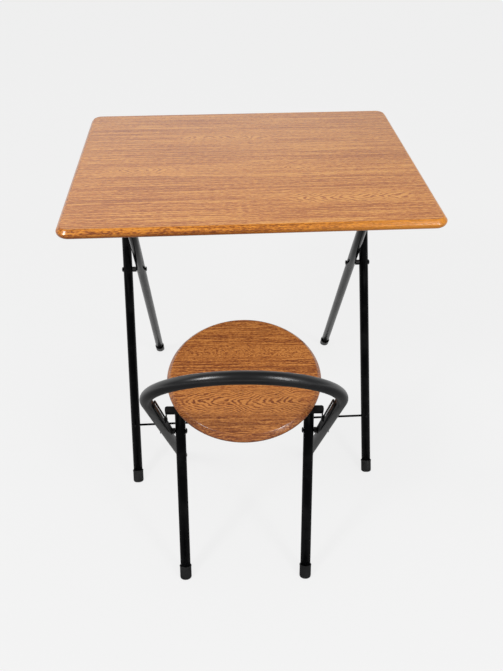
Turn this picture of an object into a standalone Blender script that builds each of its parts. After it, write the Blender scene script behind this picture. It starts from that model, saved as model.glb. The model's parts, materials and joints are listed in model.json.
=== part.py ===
"""Folding table with crossed tube legs, and a folding round-seat chair with a hoop back.

Metres, +Z up, floor at z = 0.  The table's long side runs along X and the chair stands
in front of it, on the -Y side, facing +Y.  The origin is on the floor, in the middle of
the plan of the whole set.
"""
import math

import bmesh
import bpy
from mathutils import Matrix, Vector

# Table top
TOP_WIDTH = 0.762
TOP_DEPTH = 0.624
TOP_THICKNESS = 0.020
TOP_CORNER_RADIUS = 0.026
TABLE_HEIGHT = 0.734

# Steel tube, shared by the table and the chair
TUBE_RADIUS = 0.0112
TUBE_WALL = 0.0012

# Table legs: two U frames that cross at a riveted pivot on each side
LEG_PIVOT_HEIGHT = 0.462
LEG_PIVOT_FORWARD = 0.008
LEG_SPREAD = 0.543
INNER_FRAME_HALF_WIDTH = 0.261
LEG_SPACER_LENGTH = 0.0088
FRAME_BEND_RADIUS = 0.045

# Thin rod between the two outer legs
ROD_RADIUS = 0.0027
ROD_HEIGHT = 0.1243
ROD_SCREW_RADIUS = 0.0016
ROD_SCREW_HEAD_RADIUS = 0.0032
ROD_SCREW_HEAD_HEIGHT = 0.0014

# Push-on feet
CAP_RADIUS = 0.0127
CAP_COLLAR = 0.0005
CAP_COLLAR_HEIGHT = 0.0032
CAP_LENGTH = 0.028
CAP_SOLE = 0.0095
CAP_DROP = 0.003
CAP_EDGE_RADIUS = 0.0045

# Rivets and their spacers
RIVET_RADIUS = 0.003
RIVET_HEAD_RADIUS = 0.0062
RIVET_HEAD_HEIGHT = 0.0032
FLAT_HEAD_HEIGHT = 0.0011
SPACER_RADIUS = 0.0065

# Brackets under the table top
BRACKET_SHEET = 0.0018
BRACKET_WIDTH = 0.028
BRACKET_TAB = 0.024
BRACKET_HALF_SPACING = 0.175
CATCH_WRAP_ANGLE = math.radians(115.0)

# Wood screws
SCREW_RADIUS = 0.0019
SCREW_LENGTH = 0.011
SCREW_HEAD_RADIUS = 0.0040
SCREW_HEAD_HEIGHT = 0.0018

# Chair, in its own frame: X across, +Y forward
CHAIR_RIGHT = -0.0264
CHAIR_FORWARD = -0.393
CHAIR_YAW = math.radians(-2.8)
FRONT_FOOT_FORWARD = 0.185
REAR_FOOT_FORWARD = -0.182
HOOP_LEAN = math.radians(54.9)
HOOP_STRAIGHT = 0.6477
HOOP_FOOT_HALF_WIDTH = 0.1655
HOOP_TOP_HALF_WIDTH = 0.1724
CHAIR_PIVOT_ALONG = 0.365
SLIDE_PIN_ALONG = 0.490
REAR_FOOT_HALF_WIDTH = 0.133
REAR_TOP_HALF_WIDTH = 0.1399
REAR_BEND_RADIUS = 0.035
CHAIR_FOLDED_ANGLE = math.radians(6.0)

# Seat
SEAT_RADIUS = 0.1576
SEAT_THICKNESS = 0.022
SEAT_HEIGHT = 0.452
SEAT_FORWARD = -0.0165
SEAT_TILT = math.radians(11.0)
SEAT_STRAP_HALF_SPACING = 0.070
SEAT_STRAP_WIDTH = 0.024

# Cross channel under the rear of the seat, with a pin at each end
CHANNEL_FORWARD = -0.072
CHANNEL_DEPTH = 0.014
CHANNEL_FLANGE = 0.009
CHANNEL_OVERHANG = 0.0020
CHANNEL_SHEET = 0.0016
CHANNEL_CORNER_RADIUS = 0.004
CHANNEL_SCREW_HALF_SPACING = 0.055
EAR_RADIUS = 0.007
EAR_INSET = 0.0002
SLIDE_PIN_RADIUS = 0.0027
SLIDE_PIN_HEAD_RADIUS = 0.0050
SLIDE_PIN_HEAD_HEIGHT = 0.0022

# Slotted guide plates inside the hoop's tubes
GUIDE_SHEET = 0.0022
GUIDE_HALF_WIDTH = 0.0072
GUIDE_REAR_SHIFT = 0.0010

# Clearances and overruns
TOUCH_GAP = 0.0003
RUNNING_GAP = 0.0005
EAR_SIDE_GAP = 0.0007
CUT_OVERRUN = 0.004

# Facets
TUBE_BEVEL_RESOLUTION = 8
BEND_STEPS = 7
HOOP_STEPS = 24
CORNER_STEPS = 7
EDGE_SEGMENTS = 5
SEAT_SIDES = 64
CAP_SIDES = 16
RIVET_SIDES = 14
SCREW_SIDES = 10
ROUND_STEPS = 6
CAP_EDGE_STEPS = 3

# Shares of the sizes that they follow
RIVET_DOME_SHARES = ((1.0, 0.0), (1.0, 0.35), (0.8, 0.72), (0.42, 0.95), (0.0, 1.0))
SCREW_HEAD_SHARES = ((1.0, 0.0), (1.0, 0.45), (0.62, 1.0), (0.0, 1.0))
EDGE_ROUND_SHARE = 0.49
STRAP_SCREW_SHARE = 0.6
CATCH_SCREW_SHARE = 0.29


def clear_scene():
    """Empty the scene, so that the part is all that it holds."""
    for item in list(bpy.data.objects):
        bpy.data.objects.remove(item)


def make_material(name, colour, roughness, metallic):
    """A Principled material with the piece's own colour."""
    material = bpy.data.materials.new(name)
    material.use_nodes = True
    shader = material.node_tree.nodes["Principled BSDF"]
    shader.inputs["Base Color"].default_value = (*colour, 1.0)
    shader.inputs["Roughness"].default_value = roughness
    shader.inputs["Metallic"].default_value = metallic
    material.diffuse_color = (*colour, 1.0)
    return material


def make_materials():
    """Every finish on the set."""
    return {
        "top_wood": make_material("top_wood", (0.56, 0.32, 0.16), 0.38, 0.0),
        "seat_wood": make_material("seat_wood", (0.50, 0.22, 0.08), 0.36, 0.0),
        "black_tube": make_material("black_tube", (0.015, 0.016, 0.018), 0.22, 0.0),
        "black_bracket": make_material("black_bracket", (0.02, 0.02, 0.022), 0.35, 0.0),
        "foot_plastic": make_material("foot_plastic", (0.012, 0.012, 0.012), 0.5, 0.0),
        "dark_rivet": make_material("dark_rivet", (0.03, 0.03, 0.032), 0.3, 0.6),
        "screw_steel": make_material("screw_steel", (0.55, 0.55, 0.56), 0.35, 0.9),
    }


def make_empty(name, place, parent=None):
    """An empty that stands for a group's frame or a joint's axis."""
    empty = bpy.data.objects.new(name, None)
    bpy.context.collection.objects.link(empty)
    empty.location = place
    empty.parent = parent
    return empty


class Group:
    """One rigid group: its pieces are drawn in the group's frame and hang on its axis."""

    def __init__(self, axis, materials):
        self.axis = axis
        self.materials = materials

    def hang(self, item):
        """Parent a piece to the group's axis without moving it in the frame."""
        item.parent = self.axis
        if self.axis.parent:
            item.matrix_parent_inverse = Matrix.Translation(-self.axis.location)
        return item

    def add(self, name, mesh, material):
        """Make a named piece from a mesh."""
        item = bpy.data.objects.new(name, mesh)
        bpy.context.collection.objects.link(item)
        mesh.materials.clear()
        mesh.materials.append(self.materials[material])
        mesh.shade_smooth()
        mesh.set_sharp_from_angle(angle=math.radians(35.0))
        return self.hang(item)

    def cut(self, item, mesh, operation="DIFFERENCE"):
        """Cut a piece with a mesh, or join the mesh to it."""
        tool = bpy.data.objects.new(item.name + "_tool", mesh)
        bpy.context.collection.objects.link(tool)
        tool.hide_render = True
        tool.display_type = "WIRE"
        self.hang(tool)
        modifier = item.modifiers.new("cut", "BOOLEAN")
        modifier.operation = operation
        modifier.object = tool
        modifier.solver = "EXACT"
        return item


def finish_mesh(name, shape):
    """Turn a bmesh into a mesh with its faces pointing out."""
    bmesh.ops.recalc_face_normals(shape, faces=shape.faces)
    mesh = bpy.data.meshes.new(name)
    shape.to_mesh(mesh)
    shape.free()
    return mesh


def axis_matrix(place, direction):
    """A frame at place whose Z axis runs along direction."""
    turn = Vector(direction).to_track_quat("Z", "Y").to_matrix().to_4x4()
    return Matrix.Translation(place) @ turn


def turned_mesh(name, profile, place, direction, sides):
    """Turn a profile of (radius, height) points round an axis."""
    shape = bmesh.new()
    ring = [shape.verts.new((radius, 0, height)) for radius, height in profile]
    edges = [shape.edges.new(pair) for pair in zip(ring, ring[1:])]
    bmesh.ops.spin(shape, geom=ring + edges, cent=(0, 0, 0), axis=(0, 0, 1),
                   angle=math.tau, steps=sides, use_merge=True)
    bmesh.ops.remove_doubles(shape, verts=shape.verts, dist=TOUCH_GAP / 30)
    bmesh.ops.transform(shape, matrix=axis_matrix(place, direction), verts=shape.verts)
    return finish_mesh(name, shape)


def rod_mesh(name, start, end, radius, sides):
    """A plain round bar between two points."""
    start = Vector(start)
    run = Vector(end) - start
    profile = ((0, 0), (radius, 0), (radius, run.length), (0, run.length))
    return turned_mesh(name, profile, start, run, sides)


def tube_mesh(name, points, radius):
    """The skin of a bent tube: a curve with a round bevel and open ends."""
    curve = bpy.data.curves.new(name, "CURVE")
    curve.dimensions = "3D"
    curve.bevel_depth = radius
    curve.bevel_resolution = TUBE_BEVEL_RESOLUTION
    curve.use_fill_caps = False
    spline = curve.splines.new("POLY")
    spline.points.add(len(points) - 1)
    for knot, point in zip(spline.points, points):
        knot.co = (*point, 1)
    guide = bpy.data.objects.new(name + "_path", curve)
    bpy.context.collection.objects.link(guide)
    bpy.context.view_layer.update()
    mesh = bpy.data.meshes.new_from_object(guide.evaluated_get(bpy.context.evaluated_depsgraph_get()))
    bpy.data.objects.remove(guide)
    return mesh


def add_wall(item, thickness, offset):
    """Give an open skin its sheet thickness."""
    wall = item.modifiers.new("wall", "SOLIDIFY")
    wall.thickness = thickness
    wall.offset = offset
    wall.use_even_offset = True
    wall.use_rim = True


def arc_points(centre, start, end, steps):
    """Points from start to end on the arc round centre, ends included."""
    first = Vector(start) - Vector(centre)
    last = Vector(end) - Vector(centre)
    angle = first.angle(last)
    points = []
    for step in range(steps + 1):
        share = step / steps
        near = math.sin((1 - share) * angle) / math.sin(angle)
        far = math.sin(share * angle) / math.sin(angle)
        points.append(Vector(centre) + near * first + far * last)
    return points


def mirrored(point):
    """The same place on the other side."""
    return Vector((-point.x, point.y, point.z))


def u_frame_points(foot, corner, bend):
    """Path of a U frame, from the left foot's sole and the left corner: up, across and down."""
    across = Vector((1, 0, 0))
    up = (corner - foot).normalized()
    half_turn = up.angle(across) / 2
    reach = bend * math.tan(half_turn)
    centre = corner + (across - up).normalized() * bend / math.cos(half_turn)
    start = foot + up * (CAP_SOLE + TOUCH_GAP)
    left = [start] + arc_points(centre, corner - up * reach, corner + across * reach, BEND_STEPS)
    return left + [mirrored(point) for point in reversed(left)]


def prism_mesh(name, outline, low, high):
    """A flat plate: an outline of (y, z) points, from x = low to x = high."""
    shape = bmesh.new()
    face = shape.faces.new([shape.verts.new((low, y, z)) for y, z in outline])
    extra = bmesh.ops.extrude_face_region(shape, geom=[face])
    moved = [item for item in extra["geom"] if isinstance(item, bmesh.types.BMVert)]
    bmesh.ops.translate(shape, verts=moved, vec=(high - low, 0, 0))
    return finish_mesh(name, shape)


def stadium(start, end, radius):
    """Outline of a strip with round ends between two (y, z) points."""
    start = Vector(start)
    end = Vector(end)
    heading = math.atan2(end.y - start.y, end.x - start.x)
    outline = []
    for centre, base in ((end, heading - math.pi / 2), (start, heading + math.pi / 2)):
        for step in range(ROUND_STEPS + 1):
            angle = base + math.pi * step / ROUND_STEPS
            outline.append((centre.x + radius * math.cos(angle), centre.y + radius * math.sin(angle)))
    return outline


def ribbon_mesh(name, profile, centre, width):
    """A strip of sheet: a path of (y, z) points drawn out along X."""
    shape = bmesh.new()
    line = [shape.verts.new((centre - width / 2, y, z)) for y, z in profile]
    edges = [shape.edges.new(pair) for pair in zip(line, line[1:])]
    extra = bmesh.ops.extrude_edge_only(shape, edges=edges)
    moved = [item for item in extra["geom"] if isinstance(item, bmesh.types.BMVert)]
    bmesh.ops.translate(shape, verts=moved, vec=(width, 0, 0))
    mesh = bpy.data.meshes.new(name)
    shape.to_mesh(mesh)
    shape.free()
    return mesh


def slab_mesh(name, outline, top, thickness):
    """A board with a full round edge: an outline of (x, y) points, its upper face at top."""
    shape = bmesh.new()
    face = shape.faces.new([shape.verts.new((x, y, top - thickness)) for x, y in outline])
    extra = bmesh.ops.extrude_face_region(shape, geom=[face])
    moved = [item for item in extra["geom"] if isinstance(item, bmesh.types.BMVert)]
    bmesh.ops.translate(shape, verts=moved, vec=(0, 0, thickness))
    bmesh.ops.recalc_face_normals(shape, faces=shape.faces)
    rims = [edge for edge in shape.edges if abs(edge.verts[0].co.z - edge.verts[1].co.z) < thickness / 2]
    bmesh.ops.bevel(shape, geom=rims, offset=thickness * EDGE_ROUND_SHARE, segments=EDGE_SEGMENTS,
                    profile=0.5, affect="EDGES")
    return finish_mesh(name, shape)


def rounded_rectangle(width, depth, radius):
    """Outline of a rectangle with round corners, centred on the origin."""
    outline = []
    for turn, (side_x, side_y) in enumerate(((1, 1), (-1, 1), (-1, -1), (1, -1))):
        centre_x = side_x * (width / 2 - radius)
        centre_y = side_y * (depth / 2 - radius)
        for step in range(CORNER_STEPS + 1):
            angle = math.pi / 2 * (turn + step / CORNER_STEPS)
            outline.append((centre_x + radius * math.cos(angle), centre_y + radius * math.sin(angle)))
    return outline


def add_foot_cap(group, name, foot, direction):
    """A plastic cup pushed on a leg's end, its round sole cut level with the floor."""
    socket = TUBE_RADIUS + TOUCH_GAP
    profile = [(0, -CAP_DROP)]
    for step in range(CAP_EDGE_STEPS + 1):
        angle = math.pi / 2 * step / CAP_EDGE_STEPS
        profile.append((CAP_RADIUS - CAP_EDGE_RADIUS * (1 - math.sin(angle)),
                        -CAP_DROP + CAP_EDGE_RADIUS * (1 - math.cos(angle))))
    profile += [
        (CAP_RADIUS, CAP_LENGTH - CAP_COLLAR_HEIGHT),
        (CAP_RADIUS + CAP_COLLAR, CAP_LENGTH - CAP_COLLAR_HEIGHT + CAP_COLLAR),
        (CAP_RADIUS + CAP_COLLAR, CAP_LENGTH - CAP_COLLAR),
        (CAP_RADIUS, CAP_LENGTH),
        (socket, CAP_LENGTH), (socket, CAP_SOLE), (0, CAP_SOLE),
    ]
    shape = bmesh.new()
    shape.from_mesh(turned_mesh(name, profile, foot, direction, CAP_SIDES))
    cut = bmesh.ops.bisect_plane(shape, geom=shape.verts[:] + shape.edges[:] + shape.faces[:],
                                 plane_co=(0, 0, 0), plane_no=(0, 0, -1), clear_outer=True)
    rim = [item for item in cut["geom_cut"] if isinstance(item, bmesh.types.BMEdge)]
    bmesh.ops.edgeloop_fill(shape, edges=rim)
    return group.add(name, finish_mesh(name, shape), "foot_plastic")


def add_foot_caps(group, name, foot, direction):
    """The caps on both legs of a frame, from its left foot and its left leg's direction."""
    add_foot_cap(group, name + "_left", foot, direction)
    add_foot_cap(group, name + "_right", mirrored(foot), mirrored(direction))


def add_frame(group, name, points, material="black_tube"):
    """A bent steel tube with a real wall."""
    frame = group.add(name, tube_mesh(name, points, TUBE_RADIUS), material)
    add_wall(frame, TUBE_WALL, -1)
    return frame


def drill_across(group, item, place, low, high, radius):
    """Drill a round hole along X through a piece at a (y, z) place."""
    hole = rod_mesh(item.name + "_hole", (low, *place), (high, *place), radius, RIVET_SIDES)
    group.cut(item, hole)


def rivet_profile(length, low_head, high_head):
    """Half outline of a rivet: a shank from 0 to length with a domed head on each end."""
    low = [(RIVET_HEAD_RADIUS * wide, -low_head * tall) for wide, tall in reversed(RIVET_DOME_SHARES)]
    high = [(RIVET_HEAD_RADIUS * wide, length + high_head * tall) for wide, tall in RIVET_DOME_SHARES]
    return low + [(RIVET_RADIUS, 0), (RIVET_RADIUS, length)] + high


def add_rivet(group, name, place, inner, outer, outer_head):
    """A rivet along X whose heads bear on x = inner and, further from the middle, x = outer."""
    profile = rivet_profile(abs(outer - inner), RIVET_HEAD_HEIGHT, outer_head)
    mesh = turned_mesh(name, profile, (inner, *place), (outer - inner, 0, 0), RIVET_SIDES)
    return group.add(name, mesh, "dark_rivet")


def add_spacer(group, name, place, low, high):
    """A short sleeve on a rivet, between two tubes."""
    bore = RIVET_RADIUS + TOUCH_GAP
    length = high - low
    profile = ((bore, 0), (SPACER_RADIUS, 0), (SPACER_RADIUS, length), (bore, length), (bore, 0))
    mesh = turned_mesh(name, profile, (low, *place), (1, 0, 0), CAP_SIDES)
    return group.add(name, mesh, "foot_plastic")


def add_wood_screw(group, name, place, direction, carriers):
    """A pan-head screw whose head bears on place, and its holes in the pieces it holds."""
    head = [(SCREW_HEAD_RADIUS * wide, SCREW_HEAD_HEIGHT * tall) for wide, tall in SCREW_HEAD_SHARES]
    profile = [(0, -SCREW_LENGTH), (SCREW_RADIUS, -SCREW_LENGTH + SCREW_RADIUS), (SCREW_RADIUS, 0)] + head
    lift = Vector(direction) * TOUCH_GAP
    mesh = turned_mesh(name, profile, Vector(place) + lift, direction, SCREW_SIDES)
    group.add(name, mesh, "screw_steel")
    start = Vector(place) + Vector(direction) * (SCREW_HEAD_HEIGHT + CUT_OVERRUN)
    end = Vector(place) - Vector(direction) * (SCREW_LENGTH + TOUCH_GAP)
    for item in carriers:
        hole = rod_mesh(name + "_hole", start, end, SCREW_RADIUS + TOUCH_GAP, SCREW_SIDES)
        group.cut(item, hole)


def leg_slope():
    """Forward run of a table leg for each metre of height."""
    return LEG_SPREAD / 2 / LEG_PIVOT_HEIGHT


def outer_half_width():
    """Half the spacing of the outer legs, from the inner legs and what lies between."""
    return INNER_FRAME_HALF_WIDTH + 2 * TUBE_RADIUS + LEG_SPACER_LENGTH + 2 * TOUCH_GAP


def top_underside():
    """Height of the table top's lower face."""
    return TABLE_HEIGHT - TOP_THICKNESS


def outer_bar_height():
    """Height of the outer frame's cross bar, held straight against the top."""
    return top_underside() - RUNNING_GAP - TUBE_RADIUS


def inner_bar_height():
    """Height of the inner frame's cross bar, in its hooks under the top."""
    return top_underside() - TOUCH_GAP - BRACKET_SHEET - RUNNING_GAP - TUBE_RADIUS


def leg_place(height, side):
    """(y, z) on a leg's axis: side is 1 for the outer legs and -1 for the inner legs."""
    return (-LEG_PIVOT_FORWARD + side * (height - LEG_PIVOT_HEIGHT) * leg_slope(), height)


def leg_direction(side):
    """Unit direction up a leg."""
    return Vector((0, side * leg_slope(), 1)).normalized()


def add_leg_frame(group, name, half_width, bar_height, side):
    """One U frame of the table with its two feet and the rivet holes."""
    foot = Vector((-half_width, *leg_place(0, side)))
    corner = Vector((-half_width, *leg_place(bar_height, side)))
    frame = add_frame(group, name, u_frame_points(foot, corner, FRAME_BEND_RADIUS))
    pivot = leg_place(LEG_PIVOT_HEIGHT, side)
    for mirror in (-1, 1):
        reach = TUBE_RADIUS + CUT_OVERRUN
        low = mirror * half_width - reach
        drill_across(group, frame, pivot, low, low + 2 * reach, RIVET_RADIUS + TOUCH_GAP)
    add_foot_caps(group, name.replace("leg_frame", "foot_cap"), foot, leg_direction(side))
    return frame


def add_cross_rod(group, frame):
    """The thin rod between the outer legs, and the screw that holds each end."""
    place = leg_place(ROD_HEIGHT, 1)
    reach = outer_half_width() + ROD_RADIUS
    rod = group.add("cross_rod", rod_mesh("cross_rod", (-reach, *place), (reach, *place),
                                          ROD_RADIUS, SCREW_SIDES), "black_tube")
    inward = 2 * TUBE_RADIUS - TUBE_WALL
    for word, mirror in (("left", -1), ("right", 1)):
        start = mirror * (outer_half_width() - inward)
        hole = rod_mesh("rod_hole", (start, *place), (mirror * outer_half_width(), *place),
                        ROD_RADIUS + TOUCH_GAP, SCREW_SIDES)
        group.cut(frame, hole)
        out = Vector((0, -1, leg_slope())).normalized()
        centre = Vector((mirror * outer_half_width(), *place))
        seat = centre + out * (TUBE_RADIUS + TOUCH_GAP)
        length = TUBE_RADIUS + TOUCH_GAP
        head = [(ROD_SCREW_HEAD_RADIUS * wide, ROD_SCREW_HEAD_HEIGHT * tall)
                for wide, tall in SCREW_HEAD_SHARES]
        profile = [(0, -length), (ROD_SCREW_RADIUS, -length), (ROD_SCREW_RADIUS, 0)] + head
        name = "rod_screw_" + word
        group.add(name, turned_mesh(name, profile, seat, out, SCREW_SIDES), "dark_rivet")
        for item in (frame, rod):
            cutter = rod_mesh("screw_hole", centre - out * TOUCH_GAP, seat + out * CUT_OVERRUN,
                              ROD_SCREW_RADIUS + TOUCH_GAP, SCREW_SIDES)
            group.cut(item, cutter)


def strap_profile(centre, under, radius, tab):
    """Path of a strap that runs under a round bar, with a flat tab on each side."""
    height, across = centre[1], centre[0]
    path = [(across - radius - tab, under)]
    for step in range(2 * ROUND_STEPS + 1):
        angle = math.pi + math.pi * step / (2 * ROUND_STEPS)
        point = (across + radius * math.cos(angle), height + radius * math.sin(angle))
        if step == 0:
            path.append((point[0], under))
        path.append(point)
        if step == 2 * ROUND_STEPS:
            path.append((point[0], under))
    path.append((across + radius + tab, under))
    return path


def hook_profile(centre, radius, tab):
    """Path of a catch hook: a flat tab behind the bar, then round its front side."""
    path = [(centre[0] + radius + tab, centre[1] + radius)]
    for step in range(2 * ROUND_STEPS + 1):
        angle = math.pi / 2 + CATCH_WRAP_ANGLE * step / (2 * ROUND_STEPS)
        path.append((centre[0] + radius * math.cos(angle), centre[1] + radius * math.sin(angle)))
    return path


def add_strap(group, name, x, centre, under, tab, width, board):
    """A strap with its two screws, holding a bar under a board."""
    radius = TUBE_RADIUS + RUNNING_GAP
    profile = strap_profile(centre, under - TOUCH_GAP, radius, tab)
    strap = group.add(name, ribbon_mesh(name, profile, x, width), "black_bracket")
    add_wall(strap, BRACKET_SHEET, -1)
    for word, side in (("front", -1), ("rear", 1)):
        y = centre[0] + side * (radius + BRACKET_SHEET + tab * STRAP_SCREW_SHARE)
        head = (x, y, under - TOUCH_GAP - BRACKET_SHEET)
        add_wood_screw(group, name + "_screw_" + word, head, (0, 0, -1), (strap, board))
    return strap


def add_catch(group, name, x, board):
    """A hook under the top that rests over the inner frame's cross bar."""
    centre = leg_place(inner_bar_height(), -1)
    centre = (centre[0], inner_bar_height())
    radius = TUBE_RADIUS + RUNNING_GAP
    hook = group.add(name, ribbon_mesh(name, hook_profile(centre, radius, BRACKET_TAB), x, BRACKET_WIDTH),
                     "black_bracket")
    add_wall(hook, BRACKET_SHEET, -1)
    y = centre[0] + radius + BRACKET_TAB / 2
    for word, side in (("left", -1), ("right", 1)):
        head = (x + side * BRACKET_WIDTH * CATCH_SCREW_SHARE, y, top_underside() - TOUCH_GAP - BRACKET_SHEET)
        add_wood_screw(group, name + "_screw_" + word, head, (0, 0, -1), (hook, board))


def build_table(materials, table):
    """Legs, top and all that joins them."""
    outer_place = (0, *leg_place(outer_bar_height(), 1))
    pivot_place = (0, *leg_place(LEG_PIVOT_HEIGHT, 1))
    stand = Group(table, materials)
    folding = Group(make_empty("leg_fold_axis", pivot_place, table), materials)
    lifting = Group(make_empty("top_tilt_axis", outer_place, table), materials)

    outer = add_leg_frame(stand, "outer_leg_frame", outer_half_width(), outer_bar_height(), 1)
    add_cross_rod(stand, outer)
    add_leg_frame(folding, "inner_leg_frame", INNER_FRAME_HALF_WIDTH, inner_bar_height(), -1)
    for word, mirror in (("left", -1), ("right", 1)):
        inner_face = INNER_FRAME_HALF_WIDTH - TUBE_RADIUS - TOUCH_GAP
        outer_face = outer_half_width() + TUBE_RADIUS + TOUCH_GAP
        add_rivet(stand, "leg_rivet_" + word, pivot_place[1:], mirror * inner_face, mirror * outer_face,
                  RIVET_HEAD_HEIGHT)
        near = INNER_FRAME_HALF_WIDTH + TUBE_RADIUS + TOUCH_GAP
        low, high = sorted((mirror * near, mirror * (near + LEG_SPACER_LENGTH)))
        add_spacer(stand, "leg_spacer_" + word, pivot_place[1:], low, high)

    outline = rounded_rectangle(TOP_WIDTH, TOP_DEPTH, TOP_CORNER_RADIUS)
    top = lifting.add("table_top", slab_mesh("table_top", outline, TABLE_HEIGHT, TOP_THICKNESS), "top_wood")
    for word, mirror in (("left", -1), ("right", 1)):
        x = mirror * BRACKET_HALF_SPACING
        add_strap(lifting, "top_hinge_strap_" + word, x, outer_place[1:], top_underside(),
                  BRACKET_TAB, BRACKET_WIDTH, top)
        add_catch(lifting, "top_catch_hook_" + word, x, top)


def along_hoop(distance):
    """(y, z) on the hoop's leg at a distance from the floor."""
    return Vector((FRONT_FOOT_FORWARD - distance * math.cos(HOOP_LEAN), distance * math.sin(HOOP_LEAN)))


def chair_pivot():
    """(y, z) of the rivet where the rear legs cross the hoop's legs."""
    return along_hoop(CHAIR_PIVOT_ALONG)


def rear_leg_direction():
    """Unit (y, z) direction up the rear legs."""
    return (chair_pivot() - Vector((REAR_FOOT_FORWARD, 0))).normalized()


def crossing_angle():
    """Angle between the rear legs and the hoop's legs above their pivot."""
    hoop_up = (along_hoop(1) - along_hoop(0)).normalized()
    return math.acos(hoop_up.dot(rear_leg_direction()))


def seat_arm():
    """Distance from the chair's pivot to the seat hinge, and from there to the slide pins.

    Both are equal, so the pins run straight along the hoop's legs as the chair folds.
    """
    return (SLIDE_PIN_ALONG - CHAIR_PIVOT_ALONG) / 2 / math.cos(crossing_angle())


def seat_hinge():
    """(y, z) of the rear frame's cross bar, on which the seat turns."""
    return chair_pivot() + rear_leg_direction() * seat_arm()


def folded_pin_along():
    """Where the slide pins are on the hoop's legs when the chair is folded."""
    return CHAIR_PIVOT_ALONG + 2 * seat_arm() * math.cos(CHAIR_FOLDED_ANGLE)


def seat_frame():
    """The seat's own frame: origin at the middle of its upper face, tilted back."""
    return Matrix.Translation((0, SEAT_FORWARD, SEAT_HEIGHT)) @ Matrix.Rotation(SEAT_TILT, 4, "X")


def in_seat(place):
    """A chair (y, z) place in the seat's own frame."""
    point = seat_frame().inverted() @ Vector((0, *place))
    return Vector((point.y, point.z))


def hoop_half_width(distance):
    """Half the spacing of the hoop's legs at a distance up from the floor."""
    share = distance / HOOP_STRAIGHT
    return HOOP_FOOT_HALF_WIDTH + (HOOP_TOP_HALF_WIDTH - HOOP_FOOT_HALF_WIDTH) * share


def rear_leg_ends():
    """The left rear leg's foot on the floor and its corner at the cross bar."""
    return (Vector((-REAR_FOOT_HALF_WIDTH, REAR_FOOT_FORWARD, 0)),
            Vector((-REAR_TOP_HALF_WIDTH, *seat_hinge())))


def rear_half_width_at_pivot():
    """Half the spacing of the rear legs where they cross the hoop's legs."""
    foot, corner = rear_leg_ends()
    share = chair_pivot().y / corner.z
    return REAR_FOOT_HALF_WIDTH + (REAR_TOP_HALF_WIDTH - REAR_FOOT_HALF_WIDTH) * share


def guide_inner_face(distance):
    """Distance of a guide plate's inner face from the middle of the chair."""
    return hoop_half_width(distance) - TUBE_RADIUS - TOUCH_GAP - GUIDE_SHEET


def add_hoop(group):
    """The hoop back and front legs: one tube bent to a half circle."""
    foot = Vector((-HOOP_FOOT_HALF_WIDTH, FRONT_FOOT_FORWARD, 0))
    shoulder = Vector((-HOOP_TOP_HALF_WIDTH, *along_hoop(HOOP_STRAIGHT)))
    direction = (shoulder - foot).normalized()
    points = [foot + direction * (CAP_SOLE + TOUCH_GAP)]
    for step in range(HOOP_STEPS + 1):
        angle = math.pi * step / HOOP_STEPS
        y, z = along_hoop(HOOP_STRAIGHT + HOOP_TOP_HALF_WIDTH * math.sin(angle))
        points.append(Vector((-HOOP_TOP_HALF_WIDTH * math.cos(angle), y, z)))
    points.append(mirrored(points[0]))
    hoop = add_frame(group, "hoop_back_frame", points)
    for mirror in (-1, 1):
        reach = TUBE_RADIUS + CUT_OVERRUN
        low = mirror * hoop_half_width(CHAIR_PIVOT_ALONG) - reach
        drill_across(group, hoop, chair_pivot(), low, low + 2 * reach, RIVET_RADIUS + TOUCH_GAP)
    add_foot_caps(group, "front_foot_cap", foot, direction)


def lean_with_hoop(mesh, mirror):
    """Slant a plate so that it follows the hoop's legs, which stand wider at the top."""
    upward = along_hoop(1) - along_hoop(0)
    slope = (HOOP_TOP_HALF_WIDTH - HOOP_FOOT_HALF_WIDTH) / HOOP_STRAIGHT
    for vertex in mesh.vertices:
        rise = (Vector(vertex.co.yz) - chair_pivot()).dot(upward)
        vertex.co.x += mirror * slope * rise
    return mesh


def add_guides(group):
    """A slotted plate inside each of the hoop's legs, in which a seat pin slides."""
    back = Vector((-math.sin(HOOP_LEAN), -math.cos(HOOP_LEAN))) * GUIDE_REAR_SHIFT
    outline = stadium(chair_pivot() + back, along_hoop(folded_pin_along()) + back, GUIDE_HALF_WIDTH)
    slot = stadium(along_hoop(SLIDE_PIN_ALONG), along_hoop(folded_pin_along()),
                   SLIDE_PIN_RADIUS + RUNNING_GAP)
    inner = guide_inner_face(CHAIR_PIVOT_ALONG)
    for word, mirror in (("left", -1), ("right", 1)):
        faces = sorted((mirror * inner, mirror * (inner + GUIDE_SHEET)))
        name = "guide_plate_" + word
        plate = group.add(name, lean_with_hoop(prism_mesh(name, outline, *faces), mirror), "black_bracket")
        low, high = faces[0] - CUT_OVERRUN, faces[1] + CUT_OVERRUN
        group.cut(plate, prism_mesh("slot", slot, low, high))
        drill_across(group, plate, chair_pivot(), low, high, RIVET_RADIUS + TOUCH_GAP)


def add_chair_pivots(group):
    """The rivet and sleeve on each side, where the chair's two frames cross."""
    rear = rear_half_width_at_pivot()
    for word, mirror in (("left", -1), ("right", 1)):
        inner_face = rear - TUBE_RADIUS - RUNNING_GAP
        outer_face = hoop_half_width(CHAIR_PIVOT_ALONG) + TUBE_RADIUS + TOUCH_GAP
        add_rivet(group, "chair_rivet_" + word, chair_pivot(), mirror * inner_face, mirror * outer_face,
                  FLAT_HEAD_HEIGHT)
        near = rear + TUBE_RADIUS + RUNNING_GAP
        far = guide_inner_face(CHAIR_PIVOT_ALONG) - RUNNING_GAP
        low, high = sorted((mirror * near, mirror * far))
        add_spacer(group, "chair_spacer_" + word, chair_pivot(), low, high)


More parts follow.
